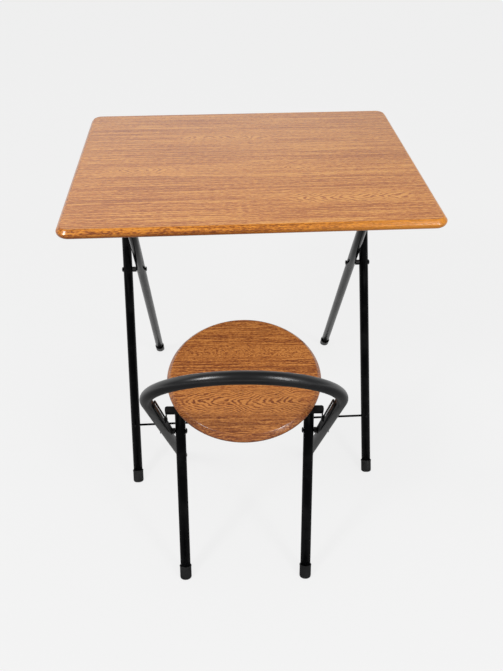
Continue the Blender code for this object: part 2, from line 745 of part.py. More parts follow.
def add_rear_frame(group):
    """The rear legs and the cross bar under the seat: one bent tube."""
    foot, corner = rear_leg_ends()
    frame = add_frame(group, "rear_leg_frame", u_frame_points(foot, corner, REAR_BEND_RADIUS))
    for mirror in (-1, 1):
        reach = TUBE_RADIUS + CUT_OVERRUN
        low = mirror * rear_half_width_at_pivot() - reach
        drill_across(group, frame, chair_pivot(), low, low + 2 * reach, RIVET_RADIUS + TOUCH_GAP)
    add_foot_caps(group, "rear_foot_cap", foot, (corner - foot).normalized())


class SeatGroup(Group):
    """The seat's pieces are drawn in the seat's own tilted frame."""

    def hang(self, item):
        """Parent a piece to the seat's hinge axis, tilted as the seat is."""
        item.parent = self.axis
        item.matrix_parent_inverse = Matrix.Translation(-self.axis.location) @ seat_frame()
        return item


def seat_outline():
    """The round seat's outline."""
    points = []
    for step in range(SEAT_SIDES):
        angle = math.tau * step / SEAT_SIDES
        points.append((SEAT_RADIUS * math.cos(angle), SEAT_RADIUS * math.sin(angle)))
    return points


def channel_shell(half, top):
    """A tray with round corners, open below: the pressed channel's outer skin."""
    shape = bmesh.new()
    bmesh.ops.create_cube(shape, size=1)
    bmesh.ops.scale(shape, vec=(2 * half, CHANNEL_DEPTH, CHANNEL_FLANGE), verts=shape.verts)
    bmesh.ops.translate(shape, vec=(0, CHANNEL_FORWARD, top - CHANNEL_FLANGE / 2), verts=shape.verts)
    upright = [edge for edge in shape.edges
               if abs(edge.verts[0].co.z - edge.verts[1].co.z) > CHANNEL_FLANGE / 2]
    bmesh.ops.bevel(shape, geom=upright, offset=CHANNEL_CORNER_RADIUS, segments=3, profile=0.5,
                    affect="EDGES")
    shape.normal_update()
    under = [face for face in shape.faces if face.normal.z < -0.5]
    bmesh.ops.delete(shape, geom=under, context="FACES_ONLY")
    mesh = bpy.data.meshes.new("seat_channel")
    shape.to_mesh(mesh)
    shape.free()
    return mesh


def add_seat_channel(group, board):
    """The pressed channel under the seat's rear, with an ear and a pin at each end."""
    ear = guide_inner_face(SLIDE_PIN_ALONG) - EAR_SIDE_GAP
    top = -SEAT_THICKNESS - TOUCH_GAP
    channel = group.add("seat_channel", channel_shell(ear + CHANNEL_OVERHANG, top), "black_bracket")
    add_wall(channel, CHANNEL_SHEET, -1)
    pin = in_seat(along_hoop(SLIDE_PIN_ALONG))
    crown = Vector((CHANNEL_FORWARD, top - EAR_RADIUS - EAR_INSET))
    for word, mirror in (("left", -1), ("right", 1)):
        faces = sorted((mirror * ear, mirror * (ear - CHANNEL_SHEET)))
        group.cut(channel, prism_mesh("ear", stadium(crown, pin, EAR_RADIUS), *faces), "UNION")
        drill_across(group, channel, pin, faces[0] - EAR_INSET, faces[1] + EAR_INSET,
                     SLIDE_PIN_RADIUS + TOUCH_GAP)
        add_slide_pin(group, "slide_pin_" + word, pin, mirror, ear - CHANNEL_SHEET - TOUCH_GAP)
    for word, side in (("left", -1), ("right", 1)):
        head = (side * CHANNEL_SCREW_HALF_SPACING, CHANNEL_FORWARD, top - CHANNEL_SHEET)
        add_wood_screw(group, "channel_screw_" + word, head, (0, 0, -1), (channel, board))


def add_slide_pin(group, name, pin, mirror, inner):
    """A headed pin from inside the ear out into the guide plate's slot."""
    length = guide_inner_face(SLIDE_PIN_ALONG) + GUIDE_SHEET - inner
    head = [(SLIDE_PIN_HEAD_RADIUS * wide, -SLIDE_PIN_HEAD_HEIGHT * tall)
            for wide, tall in reversed(RIVET_DOME_SHARES)]
    profile = head + [(SLIDE_PIN_RADIUS, 0), (SLIDE_PIN_RADIUS, length), (0, length)]
    mesh = turned_mesh(name, profile, (mirror * inner, *pin), (mirror, 0, 0), RIVET_SIDES)
    group.add(name, mesh, "dark_rivet")


def add_seat_straps(group, board):
    """Straps round the rear frame's cross bar, each with a packing block above the bar."""
    bar = in_seat(seat_hinge())
    under = -SEAT_THICKNESS
    half = TUBE_RADIUS + RUNNING_GAP
    for word, mirror in (("left", -1), ("right", 1)):
        x = mirror * SEAT_STRAP_HALF_SPACING
        name = "seat_strap_" + word
        add_strap(group, name, x, bar, under, BRACKET_TAB, SEAT_STRAP_WIDTH, board)
        side = half - TOUCH_GAP
        path = [(bar.x + side, under - TOUCH_GAP), (bar.x - side, under - TOUCH_GAP)]
        for step in range(2 * ROUND_STEPS + 1):
            angle = math.pi - math.pi * step / (2 * ROUND_STEPS)
            path.append((bar.x + side * math.cos(angle), bar.y + half * math.sin(angle)))
        block = "seat_packing_" + word
        low = x - SEAT_STRAP_WIDTH / 2
        group.add(block, prism_mesh(block, path, low, low + SEAT_STRAP_WIDTH), "foot_plastic")


def build_chair(materials, chair):
    """Hoop frame, rear frame and seat."""
    stand = Group(chair, materials)
    swing_axis = make_empty("rear_leg_axis", (0, *chair_pivot()), chair)
    hinge_axis = make_empty("seat_axis", (0, *seat_hinge()), chair)
    swinging = Group(swing_axis, materials)
    seat = SeatGroup(hinge_axis, materials)

    add_hoop(stand)
    add_guides(stand)
    add_chair_pivots(stand)
    add_rear_frame(swinging)
    board = seat.add("seat_board", slab_mesh("seat_board", seat_outline(), 0, SEAT_THICKNESS), "seat_wood")
    add_seat_channel(seat, board)
    add_seat_straps(seat, board)


def centre_on_floor(groups):
    """Slide the whole set so that the middle of its plan is over the origin."""
    bpy.context.view_layer.update()
    graph = bpy.context.evaluated_depsgraph_get()
    corners = []
    for item in bpy.data.objects:
        if item.type == "MESH" and not item.hide_render:
            solid = item.evaluated_get(graph)
            corners += [solid.matrix_world @ vertex.co for vertex in solid.data.vertices]
    for axis in (0, 1):
        values = [corner[axis] for corner in corners]
        middle = (min(values) + max(values)) / 2
        for group in groups:
            group.location[axis] -= middle
    bpy.context.view_layer.update()


def main():
    """Build the set."""
    clear_scene()
    materials = make_materials()
    table = make_empty("table", (0, 0, 0))
    chair = make_empty("chair", (CHAIR_RIGHT, CHAIR_FORWARD, 0))
    chair.rotation_euler.z = CHAIR_YAW
    build_table(materials, table)
    build_chair(materials, chair)
    centre_on_floor((table, chair))


main()
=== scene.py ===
"""Dresses the folding table and chair set: wood-grain boards, gloss black tube and the stage."""
import json
import math

import bmesh
import bpy
from bpy.props import FloatProperty, FloatVectorProperty, IntProperty, PointerProperty
from mathutils import Matrix, Vector


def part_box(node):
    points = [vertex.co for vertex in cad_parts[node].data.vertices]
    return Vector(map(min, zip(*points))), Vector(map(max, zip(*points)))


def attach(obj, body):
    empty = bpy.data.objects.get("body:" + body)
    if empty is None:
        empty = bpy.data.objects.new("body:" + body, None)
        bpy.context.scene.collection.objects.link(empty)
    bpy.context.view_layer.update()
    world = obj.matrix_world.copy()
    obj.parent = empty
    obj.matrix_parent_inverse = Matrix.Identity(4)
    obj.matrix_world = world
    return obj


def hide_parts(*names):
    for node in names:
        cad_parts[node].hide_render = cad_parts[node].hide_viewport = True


bl_info = {
    "name": "Folding table and chair",
    "version": (1, 0, 0),
    "blender": (4, 5, 0),
    "location": "3D View > Sidebar > Folding set",
    "description": "Boards, tube finishes and stage for a folding table with its chair",
    "category": "Object",
}

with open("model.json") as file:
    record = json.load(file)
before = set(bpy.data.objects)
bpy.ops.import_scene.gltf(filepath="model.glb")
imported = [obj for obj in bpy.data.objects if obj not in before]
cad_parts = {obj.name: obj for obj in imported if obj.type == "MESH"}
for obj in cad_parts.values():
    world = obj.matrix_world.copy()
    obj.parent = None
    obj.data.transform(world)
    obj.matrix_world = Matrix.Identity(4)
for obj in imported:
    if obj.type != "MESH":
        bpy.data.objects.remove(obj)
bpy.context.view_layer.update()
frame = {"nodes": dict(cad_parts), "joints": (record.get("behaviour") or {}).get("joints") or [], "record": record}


def colour_property(name, description, default):
    """A colour that the sidebar shows as a swatch."""
    return FloatVectorProperty(name=name, description=description, default=default, subtype="COLOR",
                               size=3, min=0, max=1)


def length_property(name, description, default):
    """A length in metres."""
    return FloatProperty(name=name, description=description, default=default, unit="LENGTH", min=0)


def share_property(name, description, default):
    """A share from 0 to 1."""
    return FloatProperty(name=name, description=description, default=default, subtype="FACTOR",
                         min=0, max=1)


def angle_property(name, description, degrees):
    """An angle, with its default in degrees."""
    return FloatProperty(name=name, description=description, default=math.radians(degrees), subtype="ANGLE")


class BoardSettings(bpy.types.PropertyGroup):
    """Sizes and colours of the two wood-grain boards."""

    corner_radius: length_property("Corner radius", "Plan radius of the table top's corners", 0.026)
    seat_thickness: length_property("Seat thickness", "Thickness of the seat's board", 0.022)
    seat_tilt: angle_property("Seat tilt", "How far the seat leans back", 11)
    crease_radius: length_property("Crease radius", "Radius where a board's upper face meets its edge", 0.006)
    rim_radius: length_property("Rim radius", "Radius of the boards' outer rim", 0.005)
    edge_slope: angle_property("Edge slope", "Slope between the crease and the rim", 48)
    edge_steps: IntProperty(name="Edge steps", description="Facets in each round of a board's edge",
                            default=8, min=4)
    corner_steps: IntProperty(name="Corner steps", description="Facets round a corner of the table top",
                              default=16, min=4)
    seat_steps: IntProperty(name="Seat steps", description="Facets round the seat", default=160, min=12)
    top_light: colour_property("Top, light grain", "Pale growth bands of the table top",
                               (0.730, 0.345, 0.090))
    top_middle: colour_property("Top, middle grain", "Most of the table top", (0.540, 0.200, 0.052))
    top_dark: colour_property("Top, dark grain", "Dark growth bands of the table top",
                              (0.345, 0.108, 0.027))
    # The edge's grain colours are darker and deeper than the top's as painted shade: the edge is the same
    # laminate, showing less sheen
    edge_light: colour_property("Edge, light grain", "Pale grain on the table top's edge",
                                (0.700, 0.265, 0.028))
    edge_middle: colour_property("Edge, middle grain", "Most of the table top's edge",
                                 (0.480, 0.150, 0.016))
    edge_dark: colour_property("Edge, dark grain", "Dark grain on the table top's edge",
                               (0.190, 0.046, 0.007))
    seat_light: colour_property("Seat, light grain", "Pale grain of the seat", (0.600, 0.242, 0.062))
    seat_middle: colour_property("Seat, middle grain", "Most of the seat", (0.375, 0.124, 0.031))
    seat_dark: colour_property("Seat, dark grain", "Dark grain of the seat", (0.180, 0.050, 0.018))
    board_roughness: share_property("Board roughness", "Roughness of the laminate", 0.23)
    board_specular: share_property("Board gloss", "Specular level of the laminate", 0.75)
    backing: colour_property("Backing sheet", "Plain sheet under the boards", (0.230, 0.130, 0.070))
    backing_roughness: share_property("Backing roughness", "Roughness of the sheet under the boards", 0.62)


class TubeSettings(bpy.types.PropertyGroup):
    """Sizes of the bent tubes, and colours of the painted steel and the small parts."""

    tube_radius: length_property("Tube radius", "Radius of every bent tube", 0.0112)
    skin_radius: length_property("Skin radius", "Radius of the smooth tube, inside the frame's facets",
                                 0.01108)
    table_bend: length_property("Table bend", "Radius of the table frames' bends", 0.045)
    chair_bend: length_property("Chair bend", "Radius of the rear chair frame's bends", 0.035)
    hoop_half_width: length_property("Hoop half width", "Half width of the hoop, at its shoulders", 0.1724)
    rear_half_width: length_property("Rear half width", "Half width of the rear frame, at its top", 0.1399)
    leg_inset: length_property("Leg inset", "How far up in its cap a leg ends", 0.0098)
    tube_sides: IntProperty(name="Tube sides", description="Facets round a tube", default=36, min=8)
    bend_steps: IntProperty(name="Bend steps", description="Facets along a quarter bend", default=24, min=4)
    paint: colour_property("Leg paint", "Gloss black paint of the leg frames", (0.0016, 0.0017, 0.0020))
    # The hoop's black is set a little lighter than the legs' same gloss black, as painted light
    hoop_paint: colour_property("Hoop paint", "Gloss black paint of the hoop", (0.0045, 0.0047, 0.0055))
    paint_roughness: share_property("Leg roughness", "Roughness of the leg frames' paint", 0.12)
    hoop_roughness: share_property("Hoop roughness", "Roughness of the hoop's paint", 0.30)
    bracket: colour_property("Bracket paint", "Satin black of the brackets", (0.006, 0.006, 0.0065))
    plastic: colour_property("Foot plastic", "Black of the feet and spacers", (0.010, 0.010, 0.010))
    rivet: colour_property("Rivet", "Blackened steel of the rivets", (0.012, 0.012, 0.013))
    screw: colour_property("Screw", "Zinc plated screws", (0.420, 0.420, 0.430))


class StageSettings(bpy.types.PropertyGroup):
    """Floor, light and camera."""

    pale: colour_property("Pale background", "Pale grey that the camera and reflections see",
                          (0.871, 0.871, 0.871))
    room: colour_property("Room", "Dim grey that reflections see above and in front", (0.14, 0.14, 0.14))
    floor: colour_property("Floor", "Grey that the floor scatters", (0.5, 0.5, 0.5))
    floor_share: share_property("Floor share", "Share of the floor's own shading that shows", 0.18)
    floor_strength: FloatProperty(name="Floor strength", default=1.115, min=0,
                                  description="Makes up for the share of the floor's own shading")
    floor_size: length_property("Floor size", "Width of the floor", 60.0)
    daylight: FloatProperty(name="Level light", description="Strength of the even light all round",
                            default=0.68, min=0)
    left_power: FloatProperty(name="Left softbox", description="Power of the left softbox", default=43,
                              min=0, unit="POWER")
    right_power: FloatProperty(name="Right softbox", description="Power of the right softbox", default=31,
                               min=0, unit="POWER")
    focal_length: FloatProperty(name="Focal length", default=37.66, subtype="DISTANCE_CAMERA",
                                description="Lens of the camera, for a 36 mm tall picture")
    camera_place: FloatVectorProperty(name="Camera place", size=3, subtype="TRANSLATION",
                                      description="Camera from the floor under the table top's middle",
                                      default=(-0.0776, -1.502, 1.3736))
    camera_pitch: angle_property("Camera pitch", "How far the camera looks down", 37.04)
    camera_yaw: angle_property("Camera yaw", "How far the camera looks to the right", 3.426)


def set_inputs(tree, made, inputs):
    """Put a value or a link in each named input of a node."""
    for key, value in inputs.items():
        if isinstance(value, bpy.types.NodeSocket):
            tree.links.new(value, made.inputs[key])
        else:
            made.inputs[key].default_value = value


def add_node(tree, kind, inputs, **settings):
    """Add a node, with its settings and its inputs."""
    made = tree.nodes.new(kind)
    for key, value in settings.items():
        setattr(made, key, value)
    set_inputs(tree, made, inputs)
    return made


def calculate(tree, operation, first, second=0.0, third=0.0):
    """A Math node's result."""
    made = add_node(tree, "ShaderNodeMath", {0: first, 1: second, 2: third}, operation=operation)
    return made.outputs[0]


def multiply(tree, first, *others):
    """Several values multiplied together."""
    for other in others:
        first = calculate(tree, "MULTIPLY", first, other)
    return first


def sway(tree, value, layer, amount):
    """A value moved by a noise layer, whose middle is 0.5, times an amount."""
    return calculate(tree, "MULTIPLY_ADD", calculate(tree, "SUBTRACT", layer, 0.5), amount, value)


def mix_colours(tree, share, low, high):
    """Blend two colours by a share."""
    return add_node(tree, "ShaderNodeMix", {0: share, 6: low, 7: high}, data_type="RGBA").outputs[2]


def mix_values(tree, share, low, high):
    """Blend two values by a share."""
    return add_node(tree, "ShaderNodeMix", {0: share, 2: low, 3: high}, data_type="FLOAT").outputs[0]


def map_range(tree, value, low, high, new_low=0.0, new_high=1.0):
    """Stretch a value from one range to another, with a smooth step."""
    made = add_node(tree, "ShaderNodeMapRange", {0: value, 1: low, 2: high, 3: new_low, 4: new_high},
                    interpolation_type="SMOOTHSTEP")
    return made.outputs[0]


def map_linear(tree, value, low, high):
    """Stretch a value from one range to the range from 0 to 1."""
    return add_node(tree, "ShaderNodeMapRange", {0: value, 1: low, 2: high}).outputs[0]


def one_axis(tree, vector, axis):
    """One component of a vector."""
    return add_node(tree, "ShaderNodeSeparateXYZ", {0: vector}).outputs[axis]


def stretch(tree, vector, scale):
    """Scale coordinates by a different amount along each axis."""
    made = add_node(tree, "ShaderNodeVectorMath", {0: vector, 1: scale}, operation="MULTIPLY")
    return made.outputs[0]


def noise(tree, vector, scale, detail, rough=0.55, distortion=0.0):
    """A noise value, with its cells per metre."""
    made = add_node(tree, "ShaderNodeTexNoise", {"Vector": vector, "Scale": scale, "Detail": detail,
                                                 "Roughness": rough, "Distortion": distortion})
    return made.outputs["Fac"]


def drawn_noise(tree, vector, cells, detail, rough=0.55, distortion=0.0):
    """A noise value that is drawn out, with its cells per metre along each axis."""
    return noise(tree, stretch(tree, vector, cells), 1.0, detail, rough, distortion)


def fade_ends(tree, along, start, end, fade):
    """1 between two places along the grain, fading to 0 towards both."""
    begins = map_range(tree, calculate(tree, "SUBTRACT", along, start), 0.0, fade)
    ends = map_range(tree, calculate(tree, "SUBTRACT", end, along), 0.0, fade)
    return multiply(tree, begins, ends)


def start_group(name, inputs, outputs):
    """An empty shader node group with named sockets, and its two end nodes."""
    tree = bpy.data.node_groups.new(name, "ShaderNodeTree")
    for label, kind, value in inputs:
        socket = tree.interface.new_socket(label, in_out="INPUT", socket_type=kind)
        if value is not None:
            socket.default_value = value
    for label, kind in outputs:
        tree.interface.new_socket(label, in_out="OUTPUT", socket_type=kind)
    return tree, tree.nodes.new("NodeGroupInput").outputs, tree.nodes.new("NodeGroupOutput").inputs


def place_group(tree, label, inputs):
    """Place a shared node group in a tree, building it the first time that it is asked for."""
    made = tree.nodes.new("ShaderNodeGroup")
    made.node_tree = bpy.data.node_groups.get(label) or SHARED_GROUPS[label]()
    set_inputs(tree, made, inputs)
    return made.outputs


NUMBER = "NodeSocketFloat"
COLOUR = "NodeSocketColor"
VECTOR = "NodeSocketVector"
BLACK = (0, 0, 0, 1)
WHITE = (1, 1, 1, 1)
DUST_GREY = (0.5, 0.5, 0.5, 1)
FLOOR_MARKS = (0.8, 0.8, 0.8, 1)

# Each RANGE holds the value at which an effect starts and the one at which it is full, and may add
# the effect's strength at both

# Grain layers: cells per metre along the grain (X) and across it
BROAD_CELLS = (1.6, 11.0, 11.0)
BAND_CELLS = (2.5, 100.0, 100.0)
THREAD_CELLS = (2.6, 260.0, 260.0)
STREAK_CELLS = (18.0, 250.0, 250.0)
FLECK_CELLS = (95.0, 430.0, 430.0)
PORE_CELLS = (140.0, 1500.0, 1500.0)
BROAD_WEIGHT = 0.45
BAND_WEIGHT = 0.7
PORE_RANGE = (0.55, 0.70)
PORE_DARKNESS = 0.35

# Growth lines: fine waves across the grain that wander and fade in patches
GROWTH_LINES_PER_METRE = 140.0
GROWTH_WANDER_CELLS = (7.0, 22.0, 22.0)
GROWTH_WANDER = 7.0
GROWTH_PATCH_CELLS = (12.0, 35.0, 35.0)
GROWTH_PATCH_RANGE = (0.35, 0.65)
GROWTH_WEIGHT = 0.16
LOOSE_FLECKS = 1.4


def wood_grain_group():
    """Grain along X in three colours: bands, threads, streaks, flecks, growth lines and pores."""
    tree, given, out = start_group(
        "Wood grain",
        (("Vector", VECTOR, None), ("Light", COLOUR, None), ("Middle", COLOUR, None), ("Dark", COLOUR, None),
         ("Contrast", NUMBER, 1.0), ("Threads", NUMBER, 0.4), ("Streaks", NUMBER, 1.1),
         ("Flecks", NUMBER, 1.5), ("Lines", NUMBER, 0.5), ("Line share", NUMBER, 0.0)),
        (("Colour", COLOUR), ("Pores", NUMBER)))
    vector = given["Vector"]
    flecks = drawn_noise(tree, vector, FLECK_CELLS, 2.0, 0.6, 0.5)
    total = sway(tree, 0.0, drawn_noise(tree, vector, BROAD_CELLS, 2.0), BROAD_WEIGHT)
    total = sway(tree, total, drawn_noise(tree, vector, BAND_CELLS, 3.0, 0.65, 0.1), BAND_WEIGHT)
    total = sway(tree, total, drawn_noise(tree, vector, THREAD_CELLS, 1.0, 0.5, 0.1), given["Threads"])
    total = sway(tree, total, drawn_noise(tree, vector, STREAK_CELLS, 2.0, 0.6, 0.3), given["Streaks"])
    total = sway(tree, total, flecks, given["Flecks"])
    wander = multiply(tree, drawn_noise(tree, vector, GROWTH_WANDER_CELLS, 3.0), GROWTH_WANDER)
    cycles = calculate(tree, "MULTIPLY_ADD", one_axis(tree, vector, "Y"), GROWTH_LINES_PER_METRE, wander)
    growth = calculate(tree, "SINE", multiply(tree, cycles, math.tau))
    patches = map_range(tree, drawn_noise(tree, vector, GROWTH_PATCH_CELLS, 2.0), *GROWTH_PATCH_RANGE)
    total = calculate(tree, "MULTIPLY_ADD", multiply(tree, growth, patches), GROWTH_WEIGHT, total)
    straight = multiply(tree, total, given["Contrast"])
    arched = sway(tree, calculate(tree, "SUBTRACT", given["Lines"], 0.5), flecks, LOOSE_FLECKS)
    value = calculate(tree, "ADD", mix_values(tree, given["Line share"], straight, arched), 0.5)
    colour = mix_colours(tree, map_linear(tree, value, 0.0, 0.5), given["Dark"], given["Middle"])
    colour = mix_colours(tree, map_linear(tree, value, 0.5, 1.0), colour, given["Light"])
    pores = map_range(tree, drawn_noise(tree, vector, PORE_CELLS, 1.0), *PORE_RANGE)
    colour = mix_colours(tree, multiply(tree, pores, PORE_DARKNESS), colour, given["Dark"])
    tree.links.new(colour, out["Colour"])
    tree.links.new(pores, out["Pores"])
    return tree


# Arched grain: cells per metre of its noises, and how far in metres each one moves the lines
ARCH_WANDER_CELLS = (9.0, 9.0, 1.0)
ARCH_WANDER = 0.030
ARCH_SWELL_CELLS = (13.0, 20.0, 1.0)
ARCH_SWELL = 0.060
ARCH_RIPPLE_CELLS = (38.0, 85.0, 1.0)
ARCH_BREAK_CELLS = (55.0, 120.0, 1.0)
ARCH_BREAK_RANGE = (0.35, 0.6)
ARCH_BREAK_DEPTH = 0.6
ARCH_TIP_RADIUS = 0.002
ARCH_CURVE = 60.0
ARCH_ARM_SLOPE = 1.3
ARCH_LINE_RANGE = (0.35, -0.75)
ARCH_LIGHTNESS = 0.95
ARCH_FULL_WIDTH = 0.45
ARCH_FADE = 0.05


def arched_grain_group():
    """One row of nested growth arches that point along X, laid over the rows before it."""
    tree, given, out = start_group(
        "Arched grain",
        (("Vector", VECTOR, None), ("Lines", NUMBER, 0.5), ("Mask", NUMBER, 0.0), ("Row", NUMBER, 0.0),
         ("Start", NUMBER, -1.0), ("End", NUMBER, 1.0), ("Half width", NUMBER, 0.03), ("Pitch", NUMBER, 0.02),
         ("Way", NUMBER, 1.0), ("Strength", NUMBER, 1.0), ("Ripple", NUMBER, 0.04)),
        (("Lines", NUMBER), ("Mask", NUMBER)))
    vector = given["Vector"]
    along, across = one_axis(tree, vector, "X"), one_axis(tree, vector, "Y")
    off = calculate(tree, "SUBTRACT", across, given["Row"])
    off = sway(tree, off, drawn_noise(tree, vector, ARCH_WANDER_CELLS, 2.0), ARCH_WANDER)
    square = multiply(tree, off, off)
    arm = calculate(tree, "SQRT", calculate(tree, "ADD", square, ARCH_TIP_RADIUS ** 2))
    sweep = calculate(tree, "MULTIPLY_ADD", square, ARCH_CURVE, multiply(tree, arm, ARCH_ARM_SLOPE))
    path = calculate(tree, "MULTIPLY_ADD", sweep, given["Way"], along)
    path = sway(tree, path, drawn_noise(tree, vector, ARCH_RIPPLE_CELLS, 3.0, 0.6), given["Ripple"])
    path = sway(tree, path, drawn_noise(tree, vector, ARCH_SWELL_CELLS, 1.0), ARCH_SWELL)
    wave = calculate(tree, "SINE", multiply(tree, calculate(tree, "DIVIDE", path, given["Pitch"]), math.tau))
    whole = map_range(tree, drawn_noise(tree, vector, ARCH_BREAK_CELLS, 2.0), *ARCH_BREAK_RANGE)
    depth = calculate(tree, "MULTIPLY_ADD", whole, ARCH_BREAK_DEPTH, 1 - ARCH_BREAK_DEPTH)
    dark = multiply(tree, map_range(tree, wave, *ARCH_LINE_RANGE), depth)
    lines = calculate(tree, "SUBTRACT", ARCH_LIGHTNESS, multiply(tree, dark, ARCH_LIGHTNESS))
    side = calculate(tree, "DIVIDE", calculate(tree, "ABSOLUTE", off), given["Half width"])
    mask = multiply(tree, map_range(tree, side, 1.0, ARCH_FULL_WIDTH),
                    fade_ends(tree, along, given["Start"], given["End"], ARCH_FADE), given["Strength"])
    nearer = calculate(tree, "GREATER_THAN", mask, given["Mask"])
    tree.links.new(mix_values(tree, nearer, given["Lines"], lines), out["Lines"])
    tree.links.new(calculate(tree, "MAXIMUM", mask, given["Mask"]), out["Mask"])
    return tree


LINE_WANDER_CELLS = (8.0, 6.0, 1.0)
LINE_WANDER = 0.016
LINE_BREAK_CELLS = (60.0, 300.0, 1.0)
LINE_BREAK_RANGE = (0.30, 0.55)
LINE_FULL_WIDTH = 0.2
LINE_FADE = 0.03


def stray_line_group():
    """One long pale or dark line in the grain, with soft ends."""
    tree, given, out = start_group(
        "Stray line",
        (("Vector", VECTOR, None), ("Colour", COLOUR, None), ("Line colour", COLOUR, None),
         ("Row", NUMBER, 0.0), ("Start", NUMBER, -1.0), ("End", NUMBER, 1.0), ("Width", NUMBER, 0.003),
         ("Strength", NUMBER, 1.0)),
        (("Colour", COLOUR),))
    vector = given["Vector"]
    along, across = one_axis(tree, vector, "X"), one_axis(tree, vector, "Y")
    off = calculate(tree, "SUBTRACT", across, given["Row"])
    off = sway(tree, off, drawn_noise(tree, vector, LINE_WANDER_CELLS, 2.0), LINE_WANDER)
    side = calculate(tree, "DIVIDE", calculate(tree, "ABSOLUTE", off), given["Width"])
    whole = map_range(tree, drawn_noise(tree, vector, LINE_BREAK_CELLS, 2.0), *LINE_BREAK_RANGE)
    mask = multiply(tree, map_range(tree, side, 1.0, LINE_FULL_WIDTH),
                    fade_ends(tree, along, given["Start"], given["End"], LINE_FADE), whole, given["Strength"])
    tree.links.new(mix_colours(tree, mask, given["Colour"], given["Line colour"]), out["Colour"])
    return tree


# Sprayed paint: cells per metre of its noises, and how much each one does
PAINT_RIPPLE_CELLS = 420.0
PAINT_GRIT_CELLS = 900.0
PAINT_GRIT_RANGE = (0.66, 0.75)
PAINT_GRIT_HEIGHT = 0.4
DUST_CELLS = 16.0
DUST_RANGE = (0.45, 0.75)
DUST_PALENESS = 0.06
DUST_ROUGHNESS = 0.15
RUBBED_CELLS = 55.0
RUBBED_RANGE = (0.55, 0.75)
RUBBED_ROUGHNESS = 0.07


def paint_group():
    """Sprayed paint: a slight ripple, a little dust and faint rubbed patches."""
    tree, given, out = start_group(
        "Sprayed paint",
        (("Vector", VECTOR, None), ("Colour", COLOUR, None), ("Roughness", NUMBER, 0.2),
         ("Dust", NUMBER, 0.3)),
        (("Colour", COLOUR), ("Roughness", NUMBER), ("Height", NUMBER)))
    vector = given["Vector"]
    ripple = noise(tree, vector, PAINT_RIPPLE_CELLS, 2.0, 0.5)
    grit = map_range(tree, noise(tree, vector, PAINT_GRIT_CELLS, 1.0, 0.5), *PAINT_GRIT_RANGE)
    cloud = map_range(tree, noise(tree, vector, DUST_CELLS, 4.0, 0.6), *DUST_RANGE)
    rubbed = map_range(tree, noise(tree, vector, RUBBED_CELLS, 5.0, 0.7), *RUBBED_RANGE)
    dusty = multiply(tree, cloud, given["Dust"])
    paler = mix_colours(tree, multiply(tree, dusty, DUST_PALENESS), given["Colour"], DUST_GREY)
    rough = calculate(tree, "MULTIPLY_ADD", rubbed, RUBBED_ROUGHNESS, given["Roughness"])
    rough = calculate(tree, "MULTIPLY_ADD", dusty, DUST_ROUGHNESS, rough)
    tree.links.new(paler, out["Colour"])
    tree.links.new(rough, out["Roughness"])
    tree.links.new(calculate(tree, "MULTIPLY_ADD", grit, PAINT_GRIT_HEIGHT, ripple), out["Height"])
    return tree


# Backing sheet: it shows where the surface faces down
BACKING_RANGE = (-0.97, -0.995)
FIBRE_CELLS = (90.0, 260.0, 260.0)
FIBRE_SHARE = 0.6
MOTTLE_CELLS = 9.0
MOTTLE_RANGE = (0.35, 0.65, 0.75, 1.15)


def backing_group():
    """The matt fibre sheet under a board: mixes it in where the surface faces down."""
    tree, given, out = start_group(
        "Backing sheet",
        (("Vector", VECTOR, None), ("Upward", NUMBER, 1.0), ("Colour", COLOUR, None), ("Sheet", COLOUR, None),
         ("Roughness", NUMBER, 0.25), ("Sheet roughness", NUMBER, 0.6)),
        (("Colour", COLOUR), ("Roughness", NUMBER)))
    vector = given["Vector"]
    fibres = drawn_noise(tree, vector, FIBRE_CELLS, 3.0, 0.6)
    mottle = mix_values(tree, FIBRE_SHARE, noise(tree, vector, MOTTLE_CELLS, 4.0, 0.6), fibres)
    lightness = map_range(tree, mottle, *MOTTLE_RANGE)
    sheet = mix_colours(tree, lightness, BLACK, given["Sheet"])
    below = map_range(tree, given["Upward"], *BACKING_RANGE)
    tree.links.new(mix_colours(tree, below, given["Colour"], sheet), out["Colour"])
    tree.links.new(mix_values(tree, below, given["Roughness"], given["Sheet roughness"]), out["Roughness"])
    return tree


SHARED_GROUPS = {"Wood grain": wood_grain_group, "Backing sheet": backing_group,
                 "Arched grain": arched_grain_group, "Stray line": stray_line_group,
                 "Sprayed paint": paint_group}


def new_material(name):
    """A material with a Principled shader, and its tree, shader and coordinates."""
    material = bpy.data.materials.new(name)
    material.use_nodes = True
    tree = material.node_tree
    shader = tree.nodes["Principled BSDF"]
    coordinates = tree.nodes.new("ShaderNodeTexCoord").outputs
    return material, tree, shader, coordinates


def set_bump(tree, shader, height, strength, distance):
    """Raise the surface's fine relief."""
    bump = add_node(tree, "ShaderNodeBump", {"Height": height, "Strength": strength, "Distance": distance})
    tree.links.new(bump.outputs["Normal"], shader.inputs["Normal"])


# Rows of arched grain: places and sizes in metres in the board's own frame
ARCH_INPUTS = ("Row", "Start", "End", "Half width", "Pitch", "Way", "Strength", "Ripple")
TOP_ARCHES = (
    (0.140, -0.18, 0.09, 0.034, 0.020, 1.0, 1.0, 0.04),
    (0.160, 0.12, 0.30, 0.024, 0.017, -1.0, 0.5, 0.04),
    (-0.041, -0.34, -0.12, 0.024, 0.018, 1.0, 0.9, 0.04),
    (-0.043, 0.05, 0.20, 0.024, 0.018, -1.0, 0.9, 0.04),
    (-0.198, 0.05, 0.36, 0.036, 0.021, -1.0, 1.0, 0.04),
)
SEAT_ARCHES = (
    (-0.070, -0.15, 0.14, 0.050, 0.016, -1.0, 1.0, 0.04),
    (0.056, -0.16, 0.16, 0.026, 0.012, 1.0, 0.7, 0.08),
)


